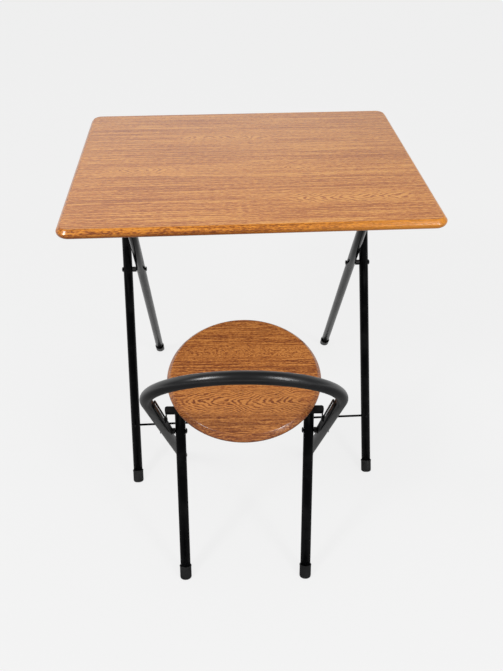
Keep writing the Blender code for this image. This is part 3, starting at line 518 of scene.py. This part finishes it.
def add_arches(tree, vector, rows):
    """Rows of arched grain, laid side by side: their lines, and where they show."""
    lines, mask = 0.5, 0.0
    for row in rows:
        sockets = place_group(tree, "Arched grain", {"Vector": vector, "Lines": lines, "Mask": mask,
                                                     **dict(zip(ARCH_INPUTS, row))})
        lines, mask = sockets["Lines"], sockets["Mask"]
    return lines, mask


# Single lines over the grain: which grain colour, then places and sizes in metres
LINE_INPUTS = ("Row", "Start", "End", "Width", "Strength")
TOP_LINES = (
    ("Light", -0.076, -0.19, 0.13, 0.005, 0.9),
    ("Dark", -0.088, -0.10, 0.10, 0.004, 0.45),
    ("Dark", -0.196, -0.12, -0.01, 0.004, 0.6),
    ("Light", -0.205, -0.13, 0.00, 0.004, 0.9),
    ("Light", 0.225, -0.27, -0.18, 0.006, 0.9),
    ("Dark", 0.120, -0.38, -0.20, 0.006, 0.4),
    ("Dark", -0.190, -0.39, -0.27, 0.005, 0.6),
    ("Light", -0.200, -0.39, -0.29, 0.005, 0.8),
    ("Dark", -0.218, -0.39, -0.30, 0.005, 0.5),
)
SEAT_LINES = (
    ("Dark", 0.097, -0.13, 0.05, 0.004, 0.6),
    ("Dark", -0.125, -0.07, 0.05, 0.006, 0.5),
    ("Dark", 0.015, -0.10, 0.15, 0.003, 0.4),
)


def add_stray_lines(tree, colour, vector, colours, rows):
    """Long single lines over the grain, in the grain's own colours."""
    for shade, *row in rows:
        sockets = place_group(tree, "Stray line", {"Vector": vector, "Colour": colour,
                                                   "Line colour": colours[shade],
                                                   **dict(zip(LINE_INPUTS, row))})
        colour = sockets["Colour"]
    return colour


def grain_colours(light, middle, dark):
    """The grain group's three colours."""
    return {"Light": (*light, 1), "Middle": (*middle, 1), "Dark": (*dark, 1)}


PORE_ROUGHNESS = 0.10
PORE_BUMP = 0.05
PORE_DEPTH = 0.0003


def finish_board(tree, shader, coordinates, upward, colour, pores, settings):
    """Link a board's colour, gloss and pores, with the backing sheet on its underside."""
    rough = calculate(tree, "MULTIPLY_ADD", pores, PORE_ROUGHNESS, settings.board_roughness)
    backed = place_group(tree, "Backing sheet", {
        "Vector": coordinates["Object"], "Upward": upward, "Colour": colour, "Roughness": rough,
        "Sheet": (*settings.backing, 1), "Sheet roughness": settings.backing_roughness})
    tree.links.new(backed["Colour"], shader.inputs["Base Color"])
    tree.links.new(backed["Roughness"], shader.inputs["Roughness"])
    shader.inputs["Specular IOR Level"].default_value = settings.board_specular
    set_bump(tree, shader, pores, PORE_BUMP, PORE_DEPTH)


# Weights of the grain's layers on each surface
TOP_GRAIN = {"Contrast": 1.9, "Threads": 1.3, "Streaks": 0.5}
EDGE_GRAIN = {"Contrast": 1.9, "Threads": 0.6, "Streaks": 0.8, "Flecks": 1.8}
SEAT_GRAIN = {"Contrast": 1.9, "Threads": 0.9, "Flecks": 1.3}
EDGE_STRETCH = (1.4, 1.3, 1.3)
SEAT_STRETCH = (1.6, 1.35, 1.35)

# The edge's colours follow the surface's upward direction; both boards' edges get painted shade that darkens them
# towards the bottom
TOP_EDGE_RANGE = (0.997, 0.98)
TOP_LOW_SHADE_RANGE = (0.75, -0.7, 0.0, 0.7)
SEAT_EDGE_SHADE_RANGE = (0.99, 0.80, 0.0, 0.24)
SEAT_LOW_SHADE_RANGE = (0.70, -0.60, 0.0, 0.40)

# Painted light: the top's edge is paler towards its right end, along X, as if lit more from the right
PAINTED_LIGHT_END_RANGE = (-0.10, 0.38, 0.0, 0.6)


def table_top_material(settings):
    """Printed wood-grain laminate of the table top. Its edge has darker, deeper colours as painted shade, darker
    still towards the bottom, and paler towards the right end as painted light.
    """
    material, tree, shader, coordinates = new_material("table_top_laminate")
    vector = coordinates["Object"]
    upward = one_axis(tree, coordinates["Normal"], "Z")
    colours = grain_colours(settings.top_light, settings.top_middle, settings.top_dark)
    edge_colours = grain_colours(settings.edge_light, settings.edge_middle, settings.edge_dark)
    lines, mask = add_arches(tree, vector, TOP_ARCHES)
    grain = place_group(tree, "Wood grain", {"Vector": vector, "Lines": lines, "Line share": mask,
                                             **TOP_GRAIN, **colours})
    face = add_stray_lines(tree, grain["Colour"], vector, colours, TOP_LINES)
    # Painted shade: the edge gets darker, deeper grain colours than the top's face
    rim = place_group(tree, "Wood grain", {"Vector": stretch(tree, vector, EDGE_STRETCH),
                                           **EDGE_GRAIN, **edge_colours})
    # Painted shade: the edge darkens towards its bottom
    low = map_range(tree, upward, *TOP_LOW_SHADE_RANGE)
    edge = mix_colours(tree, low, rim["Colour"], edge_colours["Dark"])
    # Painted light: the edge gets paler towards its right end
    painted_light_end = map_range(tree, one_axis(tree, vector, "X"), *PAINTED_LIGHT_END_RANGE)
    edge = mix_colours(tree, painted_light_end, edge, edge_colours["Light"])
    colour = mix_colours(tree, map_range(tree, upward, *TOP_EDGE_RANGE), face, edge)
    finish_board(tree, shader, coordinates, upward, colour, grain["Pores"], settings)
    return material


def seat_material(settings):
    """Printed wood-grain laminate of the seat, darkened at its edge, and more so lower down, as painted shade."""
    material, tree, shader, coordinates = new_material("seat_laminate")
    vector = coordinates["Object"]
    upward = one_axis(tree, coordinates["Normal"], "Z")
    colours = grain_colours(settings.seat_light, settings.seat_middle, settings.seat_dark)
    lines, mask = add_arches(tree, vector, SEAT_ARCHES)
    grain = place_group(tree, "Wood grain", {"Vector": stretch(tree, vector, SEAT_STRETCH),
                                             "Lines": lines, "Line share": mask, **SEAT_GRAIN, **colours})
    colour = add_stray_lines(tree, grain["Colour"], vector, colours, SEAT_LINES)
    # Painted shade: the seat's edge darkens, more towards its bottom
    edge = map_range(tree, upward, *SEAT_EDGE_SHADE_RANGE)
    low = map_range(tree, upward, *SEAT_LOW_SHADE_RANGE)
    colour = mix_colours(tree, calculate(tree, "ADD", edge, low), colour, colours["Dark"])
    finish_board(tree, shader, coordinates, upward, colour, grain["Pores"], settings)
    return material


PAINT_DEPTH = 0.0002
PAINT_BUMP = 0.06
HOOP_BUMP = 0.03


def painted_material(name, colour, roughness, dust, specular, metallic=0.0, bump=PAINT_BUMP):
    """Paint, plastic or bare metal with its ripple, dust and rubbed patches."""
    material, tree, shader, coordinates = new_material(name)
    paint = place_group(tree, "Sprayed paint", {
        "Vector": coordinates["Object"], "Colour": (*colour, 1), "Roughness": roughness, "Dust": dust})
    tree.links.new(paint["Colour"], shader.inputs["Base Color"])
    tree.links.new(paint["Roughness"], shader.inputs["Roughness"])
    shader.inputs["Specular IOR Level"].default_value = specular
    shader.inputs["Metallic"].default_value = metallic
    set_bump(tree, shader, paint["Height"], bump, PAINT_DEPTH)
    return material


def add_piece(name, mesh, material, body, nodes, place=None):
    """Add a piece that rides on a body and stands for CAD nodes."""
    piece = bpy.data.objects.new(name, mesh)
    bpy.context.scene.collection.objects.link(piece)
    if place:
        piece.matrix_world = place
    mesh.materials.append(material)
    mesh.shade_smooth()
    bpy.context.view_layer.update()
    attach(piece, body)
    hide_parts(*nodes)


def dress(names, material):
    """Give CAD nodes a material of this scene."""
    for name in names:
        for slot in frame["nodes"][name].material_slots:
            slot.material = material


def nodes_named(*words):
    """Names of the CAD nodes that start with one of the words."""
    return [name for name in frame["nodes"] if name.startswith(words)]


SAME_POINT = 1e-6


def board_profile(thickness, settings):
    """Inset and height round a board's edge: a crease, a slope, a rim, then a half round below."""
    half = thickness / 2
    crease, rim, slope = settings.crease_radius, settings.rim_radius, settings.edge_slope
    straight = (half - crease * (1 - math.cos(slope)) - rim * math.cos(slope)) / math.sin(slope)
    run = crease * math.sin(slope) + straight * math.cos(slope) + rim * (1 - math.sin(slope))
    profile = []
    for radius, inset, height, start, end in (
            (crease, run, -crease, 0, slope),
            (rim, rim, -half, slope, math.pi / 2),
            (half, half, -half, math.pi / 2, math.pi)):
        for step in range(settings.edge_steps + 1):
            angle = start + (end - start) * step / settings.edge_steps
            point = (inset - radius * math.sin(angle), height + radius * math.cos(angle))
            if not profile or math.dist(point, profile[-1]) > SAME_POINT:
                profile.append(point)
    return profile


def finished_mesh(name, shape):
    """A mesh from a closed shape, with its faces turned outward."""
    bmesh.ops.recalc_face_normals(shape, faces=shape.faces)
    mesh = bpy.data.meshes.new(name)
    shape.to_mesh(mesh)
    shape.free()
    return mesh


def board_mesh(name, outline, profile):
    """A board with a round edge, its upper face at z = 0 and its outline given in plan."""
    shape = bmesh.new()
    count = len(outline)
    rings = []
    for inset, height in profile:
        ring = []
        for point, outward in outline:
            x, y = point.x - outward.x * inset, point.y - outward.y * inset
            ring.append(shape.verts.new((x, y, height)))
        rings.append(ring)
    for upper, lower in zip(rings, rings[1:]):
        for index in range(count):
            after = (index + 1) % count
            shape.faces.new((upper[index], lower[index], lower[after], upper[after]))
    shape.faces.new(rings[0])
    shape.faces.new(list(reversed(rings[-1])))
    return finished_mesh(name, shape)


def rectangle_outline(width, depth, radius, steps):
    """Points and outward directions round a rectangle with round corners."""
    outline = []
    for turn, (side_x, side_y) in enumerate(((1, 1), (-1, 1), (-1, -1), (1, -1))):
        centre = Vector((side_x * (width / 2 - radius), side_y * (depth / 2 - radius)))
        for step in range(steps + 1):
            angle = math.pi / 2 * (turn + step / steps)
            outward = Vector((math.cos(angle), math.sin(angle)))
            outline.append((centre + outward * radius, outward))
    return outline


def disc_outline(radius, steps):
    """Points and outward directions round a disc."""
    outline = []
    for step in range(steps):
        angle = math.tau * step / steps
        outward = Vector((math.cos(angle), math.sin(angle)))
        outline.append((outward * radius, outward))
    return outline


class FOLDINGSET_OT_table_top(bpy.types.Operator):
    """Make the wood-grain table top with its full round edge"""

    bl_idname = "folding_set.table_top"
    bl_label = "Table top"

    def execute(self, context):
        settings = context.scene.folding_boards
        low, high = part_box("table_top")
        outline = rectangle_outline(high[0] - low[0], high[1] - low[1], settings.corner_radius,
                                    settings.corner_steps)
        profile = board_profile(high[2] - low[2], settings)
        mesh = board_mesh("laminated_top", outline, profile)
        middle = Vector(((low[0] + high[0]) / 2, (low[1] + high[1]) / 2, high[2]))
        add_piece("laminated_top", mesh, table_top_material(settings), "tabletop",
                  ("table_top",), Matrix.Translation(middle))
        return {"FINISHED"}


def joint_named(name):
    """A joint of the frame, with its place and axis."""
    return next(item for item in frame["joints"] if item["name"] == name)


def mount_place(name):
    """Where a mount of the record is."""
    return Vector(next(item for item in frame["record"]["mounts"] if item["name"] == name)["pos_m"])


def seat_place(settings):
    """The seat's own frame, from the joint that it turns on and the board's box."""
    low, high = (Vector(corner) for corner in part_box("seat_board"))
    across = Vector(joint_named("seat_fold")["axis"])
    yaw = math.atan2(across.y, across.x)
    turn = Matrix.Rotation(yaw, 4, "Z") @ Matrix.Rotation(settings.seat_tilt, 4, "X")
    up = turn.to_3x3() @ Vector((0, 0, 1))
    return Matrix.Translation((low + high) / 2 + up * settings.seat_thickness / 2) @ turn


class FOLDINGSET_OT_seat(bpy.types.Operator):
    """Make the round wood-grain seat"""

    bl_idname = "folding_set.seat"
    bl_label = "Seat"

    def execute(self, context):
        settings = context.scene.folding_boards
        low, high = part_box("seat_board")
        profile = board_profile(settings.seat_thickness, settings)
        outline = disc_outline((high[0] - low[0]) / 2, settings.seat_steps)
        mesh = board_mesh("round_seat", outline, profile)
        add_piece("round_seat", mesh, seat_material(settings), "chair_seat",
                  ("seat_board",), seat_place(settings))
        return {"FINISHED"}


def swept_tube(name, points, radius, sides):
    """A smooth tube along a path, with closed ends."""
    shape = bmesh.new()
    last = len(points) - 1
    side = (points[1] - points[0]).orthogonal()
    rings = []
    for index, point in enumerate(points):
        along = (points[min(index + 1, last)] - points[max(index - 1, 0)]).normalized()
        side = (side - along * side.dot(along)).normalized()
        other = along.cross(side)
        ring = []
        for step in range(sides):
            angle = math.tau * step / sides
            ring.append(shape.verts.new(point + (side * math.cos(angle) + other * math.sin(angle)) * radius))
        rings.append(ring)
    for near, far in zip(rings, rings[1:]):
        for step in range(sides):
            after = (step + 1) % sides
            shape.faces.new((near[step], near[after], far[after], far[step]))
    shape.faces.new(list(reversed(rings[0])))
    shape.faces.new(rings[-1])
    return finished_mesh(name, shape)


def bend(before, corner, after, radius, steps):
    """Points of the round bend that replaces a path's corner."""
    back = (before - corner).normalized()
    ahead = (after - corner).normalized()
    half = back.angle(ahead) / 2
    centre = corner + (back + ahead).normalized() * radius / math.sin(half)
    reach = radius / math.tan(half)
    first = corner + back * reach - centre
    last = corner + ahead * reach - centre
    angle = first.angle(last)
    points = []
    for step in range(steps + 1):
        share = step / steps
        near = math.sin((1 - share) * angle) / math.sin(angle)
        far = math.sin(share * angle) / math.sin(angle)
        points.append(centre + first * near + last * far)
    return points


def u_path(feet, corners, radius, inset, steps):
    """Path of a U frame from its two feet and its two sharp corners."""
    left = feet[0] + (corners[0] - feet[0]).normalized() * inset
    right = feet[1] + (corners[1] - feet[1]).normalized() * inset
    return [left, *bend(feet[0], corners[0], corners[1], radius, steps),
            *bend(corners[0], corners[1], feet[1], radius, steps), right]


def table_frame_path(settings, node, pivot, leaning, height):
    """Path of one of the table's frames: leaning is the run along Y for each metre up."""
    half = (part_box(node)[1][0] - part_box(node)[0][0]) / 2 - settings.tube_radius
    foot_y = pivot.y - leaning * pivot.z
    corner_y = foot_y + leaning * height
    feet = [Vector((side * half, foot_y, 0)) for side in (-1, 1)]
    corners = [Vector((side * half, corner_y, height)) for side in (-1, 1)]
    return u_path(feet, corners, settings.table_bend, settings.leg_inset, settings.bend_steps)


HOOP_STEPS_PER_BEND = 4


def hoop_path(settings):
    """Path of the hoop and its front legs, which stand a little wider at the shoulders."""
    feet = [mount_place("front_foot_sole_" + word) for word in ("left", "right")]
    middle = (feet[0] + feet[1]) / 2
    joint = joint_named("chair_fold")
    across = Vector(joint["axis"])
    up = (Vector(joint["pos_m"]) - middle).normalized()
    half = settings.hoop_half_width
    straight = (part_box("hoop_back_frame")[1][2] - settings.tube_radius) / up.z - half
    points = []
    steps = settings.bend_steps * HOOP_STEPS_PER_BEND
    for step in range(steps + 1):
        angle = math.pi * step / steps
        points.append(middle + up * (straight + half * math.sin(angle)) - across * half * math.cos(angle))
    left = feet[0] + (points[0] - feet[0]).normalized() * settings.leg_inset
    right = feet[1] + (points[-1] - feet[1]).normalized() * settings.leg_inset
    return [left, *points, right]


def rear_frame_path(settings):
    """Path of the chair's rear frame."""
    joint = joint_named("seat_fold")
    across = Vector(joint["axis"]) * settings.rear_half_width
    feet = [mount_place("rear_foot_sole_" + word) for word in ("left", "right")]
    corners = [Vector(joint["pos_m"]) - across, Vector(joint["pos_m"]) + across]
    return u_path(feet, corners, settings.chair_bend, settings.leg_inset, settings.bend_steps)


# Gloss and dust of each finish: roughness, dust and specular level
BRACKET_FINISH = (0.5, 0.4, 0.25)
RIVET_FINISH = (0.30, 0.3, 0.5)
SCREW_FINISH = (0.32, 0.2, 0.5)
SPACER_FINISH = (0.45, 0.4, 0.4)
FOOT_FINISH = (0.42, 0.6, 0.4)
RIVET_METALLIC = 0.6
SCREW_METALLIC = 1.0
PAINT_DUST = 0.2
LEG_SPECULAR = 0.10
HOOP_SPECULAR = 0.75


class FOLDINGSET_OT_tubes(bpy.types.Operator):
    """Make the four bent tubes smooth, and paint them and the thin rod gloss black"""

    bl_idname = "folding_set.tubes"
    bl_label = "Tubes"

    def execute(self, context):
        settings = context.scene.folding_tubes
        leg_paint = painted_material("gloss_black_legs", settings.paint, settings.paint_roughness,
                                     PAINT_DUST, LEG_SPECULAR)
        # Painted light: the hoop's paint is the legs' black made a little lighter
        hoop_paint = painted_material("gloss_black_hoop", settings.hoop_paint, settings.hoop_roughness,
                                      PAINT_DUST, HOOP_SPECULAR, bump=HOOP_BUMP)
        pivot, bar = (Vector(joint_named(name)["pos_m"]) for name in ("leg_fold", "top_tilt"))
        leaning = (bar.y - pivot.y) / (bar.z - pivot.z)
        inner_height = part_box("inner_leg_frame")[1][2] - settings.tube_radius
        outer_path = table_frame_path(settings, "outer_leg_frame", pivot, leaning, bar.z)
        inner_path = table_frame_path(settings, "inner_leg_frame", pivot, -leaning, inner_height)
        tubes = (
            ("outer_leg_frame", "table_frame", outer_path, leg_paint),
            ("inner_leg_frame", "inner_legs", inner_path, leg_paint),
            ("hoop_back_frame", "chair_frame", hoop_path(settings), hoop_paint),
            ("rear_leg_frame", "chair_rear_legs", rear_frame_path(settings), leg_paint),
        )
        for node, body, path, paint in tubes:
            mesh = swept_tube("smooth_" + node, path, settings.skin_radius, settings.tube_sides)
            add_piece("smooth_" + node, mesh, paint, body, (node,))
        dress(["cross_rod"], leg_paint)
        return {"FINISHED"}


class FOLDINGSET_OT_fittings(bpy.types.Operator):
    """Finish the brackets, guide plates, rivets, spacers and screws"""

    bl_idname = "folding_set.fittings"
    bl_label = "Brackets and fasteners"

    def execute(self, context):
        settings = context.scene.folding_tubes
        bracket = painted_material("satin_black_paint", settings.bracket, *BRACKET_FINISH)
        rivet = painted_material("blackened_rivet", settings.rivet, *RIVET_FINISH, RIVET_METALLIC)
        screw = painted_material("zinc_screw", settings.screw, *SCREW_FINISH, SCREW_METALLIC)
        plastic = painted_material("spacer_plastic", settings.plastic, *SPACER_FINISH)
        dress(nodes_named("guide_", "top_", "seat_channel", "seat_strap"), bracket)
        dress([name for name in frame["nodes"] if "screw" in name], screw)
        dress(nodes_named("leg_rivet", "chair_rivet", "slide_pin", "rod_screw"), rivet)
        dress(nodes_named("leg_spacer", "chair_spacer", "seat_packing"), plastic)
        return {"FINISHED"}


class FOLDINGSET_OT_feet(bpy.types.Operator):
    """Finish the push-on plastic feet"""

    bl_idname = "folding_set.feet"
    bl_label = "Feet"

    def execute(self, context):
        settings = context.scene.folding_tubes
        plastic = painted_material("foot_plastic", settings.plastic, *FOOT_FINISH)
        dress([name for name in frame["nodes"] if "foot_cap" in name], plastic)
        return {"FINISHED"}


def seen_rays(tree):
    """Light Path sockets, and 1 for camera, reflected and transmitted rays, which see the background."""
    path = tree.nodes.new("ShaderNodeLightPath").outputs
    seen = calculate(tree, "MAXIMUM", path["Is Camera Ray"], path["Is Transmission Ray"])
    return path, calculate(tree, "MAXIMUM", seen, path["Is Glossy Ray"])


# Where reflections see the backdrop, by the ray's direction along Y, Z and X
BEHIND_RANGE = (0.15, 0.6)
HEIGHT_RANGE = (0.75, 0.30, 0.0, 1.3)
SIDE_RANGE = (0.40, -0.35, 0.48, 1.30)


def pale_world(scene, settings):
    """Even light all round, seen as a pale backdrop, but dim above and in front in reflections."""
    world = bpy.data.worlds.new("pale_room")
    scene.world = world
    world.use_nodes = True
    tree = world.node_tree
    tree.nodes.clear()
    direction = tree.nodes.new("ShaderNodeTexCoord").outputs["Generated"]
    behind = multiply(tree, map_range(tree, one_axis(tree, direction, "Y"), *BEHIND_RANGE),
                      map_range(tree, one_axis(tree, direction, "Z"), *HEIGHT_RANGE),
                      map_range(tree, one_axis(tree, direction, "X"), *SIDE_RANGE))
    path, seen = seen_rays(tree)
    pale = (*settings.pale, 1)
    reflected = mix_colours(tree, behind, (*settings.room, 1), pale)
    shown = mix_colours(tree, path["Is Glossy Ray"], pale, reflected)
    lit = add_node(tree, "ShaderNodeBackground", {"Color": WHITE, "Strength": settings.daylight})
    backdrop = add_node(tree, "ShaderNodeBackground", {"Color": shown, "Strength": 1.0})
    mixed = add_node(tree, "ShaderNodeMixShader", {0: seen, 1: lit.outputs[0], 2: backdrop.outputs[0]})
    out = tree.nodes.new("ShaderNodeOutputWorld")
    tree.links.new(mixed.outputs[0], out.inputs["Surface"])


LAMP_AIM = Vector((0, 0, 0.5))
LEFT_SOFTBOX_PLACE = Vector((-2.0, -1.45, 2.65))
LEFT_SOFTBOX_SIZE = (0.5, 0.8)
RIGHT_SOFTBOX_PLACE = Vector((1.65, -1.95, 2.05))
RIGHT_SOFTBOX_SIZE = (0.45, 1.5)


def add_softbox(name, place, size, power):
    """A rectangular lamp at place, turned to the middle of the set."""
    light = bpy.data.lights.new(name, "AREA")
    light.shape = "RECTANGLE"
    light.size, light.size_y = size
    light.energy = power
    lamp = bpy.data.objects.new(name, light)
    lamp.location = place
    lamp.rotation_euler = (LAMP_AIM - place).to_track_quat("-Z", "Y").to_euler()
    bpy.context.scene.collection.objects.link(lamp)


PHOTO_WIDTH = 503
PHOTO_HEIGHT = 671
SENSOR_SIZE = 36


def add_camera(scene, settings):
    """The camera at the photograph's angle."""
    low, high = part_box("table_top")
    middle = Vector(((low[0] + high[0]) / 2, (low[1] + high[1]) / 2, 0))
    data = bpy.data.cameras.new("photo_camera")
    data.sensor_fit = "VERTICAL" if PHOTO_HEIGHT > PHOTO_WIDTH else "HORIZONTAL"
    data.sensor_height = SENSOR_SIZE
    data.sensor_width = SENSOR_SIZE
    data.lens = settings.focal_length
    camera = bpy.data.objects.new("photo_camera", data)
    camera.location = middle + Vector(settings.camera_place)
    camera.rotation_euler = (math.pi / 2 - settings.camera_pitch, 0, -settings.camera_yaw)
    scene.collection.objects.link(camera)
    scene.camera = camera


# The floor: its faint marks, and where reflections see it dim, from under the camera outward
FLOOR_CLOUD_CELLS = 1.5
FLOOR_CLOUD_SHARE = 0.01
FLOOR_ROUGHNESS = 0.9
DIM_MIDDLE = (0.0, -1.75, 0.0)
DIM_SQUEEZE = (0.5, 1.0, 1.0)
DIM_RANGE = (1.4, 2.4, 0.05, 0.9)


def floor_material(settings):
    """A plain floor that shows as the pale background, over a share of its own shading."""
    material, tree, shader, coordinates = new_material("pale_floor")
    place = coordinates["Object"]
    marks = multiply(tree, noise(tree, place, FLOOR_CLOUD_CELLS, 3.0), FLOOR_CLOUD_SHARE)
    shade = mix_colours(tree, marks, (*settings.floor, 1), FLOOR_MARKS)
    tree.links.new(shade, shader.inputs["Base Color"])
    shader.inputs["Roughness"].default_value = FLOOR_ROUGHNESS
    shader.inputs["Specular IOR Level"].default_value = 0.0
    path, seen = seen_rays(tree)
    away = add_node(tree, "ShaderNodeVectorMath", {0: stretch(tree, place, DIM_SQUEEZE), 1: DIM_MIDDLE},
                    operation="DISTANCE").outputs["Value"]
    reflected = map_range(tree, away, *DIM_RANGE)
    dimmed = mix_values(tree, path["Is Glossy Ray"], 1.0, reflected)
    strength = multiply(tree, dimmed, settings.floor_strength)
    pale = add_node(tree, "ShaderNodeEmission", {"Color": (*settings.pale, 1), "Strength": strength})
    share = multiply(tree, seen, 1 - settings.floor_share)
    mixed = add_node(tree, "ShaderNodeMixShader", {0: share, 1: shader.outputs[0], 2: pale.outputs[0]})
    tree.links.new(mixed.outputs[0], tree.nodes["Material Output"].inputs["Surface"])
    return material


class FOLDINGSET_OT_stage(bpy.types.Operator):
    """Add the pale floor, the soft lamps and the camera"""

    bl_idname = "folding_set.stage"
    bl_label = "Stage"

    def execute(self, context):
        settings = context.scene.folding_stage
        half = settings.floor_size / 2
        mesh = bpy.data.meshes.new("floor")
        corners = [(-half, -half, 0), (half, -half, 0), (half, half, 0), (-half, half, 0)]
        mesh.from_pydata(corners, [], [(0, 1, 2, 3)])
        mesh.materials.append(floor_material(settings))
        floor = bpy.data.objects.new("floor", mesh)
        context.scene.collection.objects.link(floor)
        pale_world(context.scene, settings)
        add_softbox("left_softbox", LEFT_SOFTBOX_PLACE, LEFT_SOFTBOX_SIZE, settings.left_power)
        add_softbox("right_softbox", RIGHT_SOFTBOX_PLACE, RIGHT_SOFTBOX_SIZE, settings.right_power)
        add_camera(context.scene, settings)
        context.scene.view_settings.view_transform = "Standard"
        return {"FINISHED"}


OPERATORS = (FOLDINGSET_OT_table_top, FOLDINGSET_OT_seat, FOLDINGSET_OT_tubes, FOLDINGSET_OT_feet,
             FOLDINGSET_OT_fittings, FOLDINGSET_OT_stage)


class FOLDINGSET_PT_panel(bpy.types.Panel):
    """Lists the pieces of the folding set."""

    bl_idname = "FOLDINGSET_PT_panel"
    bl_label = "Folding table and chair"
    bl_space_type = "VIEW_3D"
    bl_region_type = "UI"
    bl_category = "Folding set"

    def draw(self, context):
        for operator in OPERATORS:
            self.layout.operator(operator.bl_idname)
        scene = context.scene
        for group in (scene.folding_boards, scene.folding_tubes, scene.folding_stage):
            column = self.layout.column()
            for name in group.bl_rna.properties.keys():
                if name not in ("rna_type", "name"):
                    column.prop(group, name)


CLASSES = (BoardSettings, TubeSettings, StageSettings, *OPERATORS, FOLDINGSET_PT_panel)


def register():
    """Register the classes and their settings on the scene."""
    for item in CLASSES:
        bpy.utils.register_class(item)
    bpy.types.Scene.folding_boards = PointerProperty(type=BoardSettings)
    bpy.types.Scene.folding_tubes = PointerProperty(type=TubeSettings)
    bpy.types.Scene.folding_stage = PointerProperty(type=StageSettings)


def unregister():
    """Take the settings and the classes away again."""
    del bpy.types.Scene.folding_stage
    del bpy.types.Scene.folding_tubes
    del bpy.types.Scene.folding_boards
    for item in reversed(CLASSES):
        bpy.utils.unregister_class(item)


def main():
    """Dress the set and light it."""
    register()
    bpy.ops.folding_set.table_top()
    bpy.ops.folding_set.seat()
    bpy.ops.folding_set.tubes()
    bpy.ops.folding_set.feet()
    bpy.ops.folding_set.fittings()
    bpy.ops.folding_set.stage()


if __name__ == "__main__":
    main()
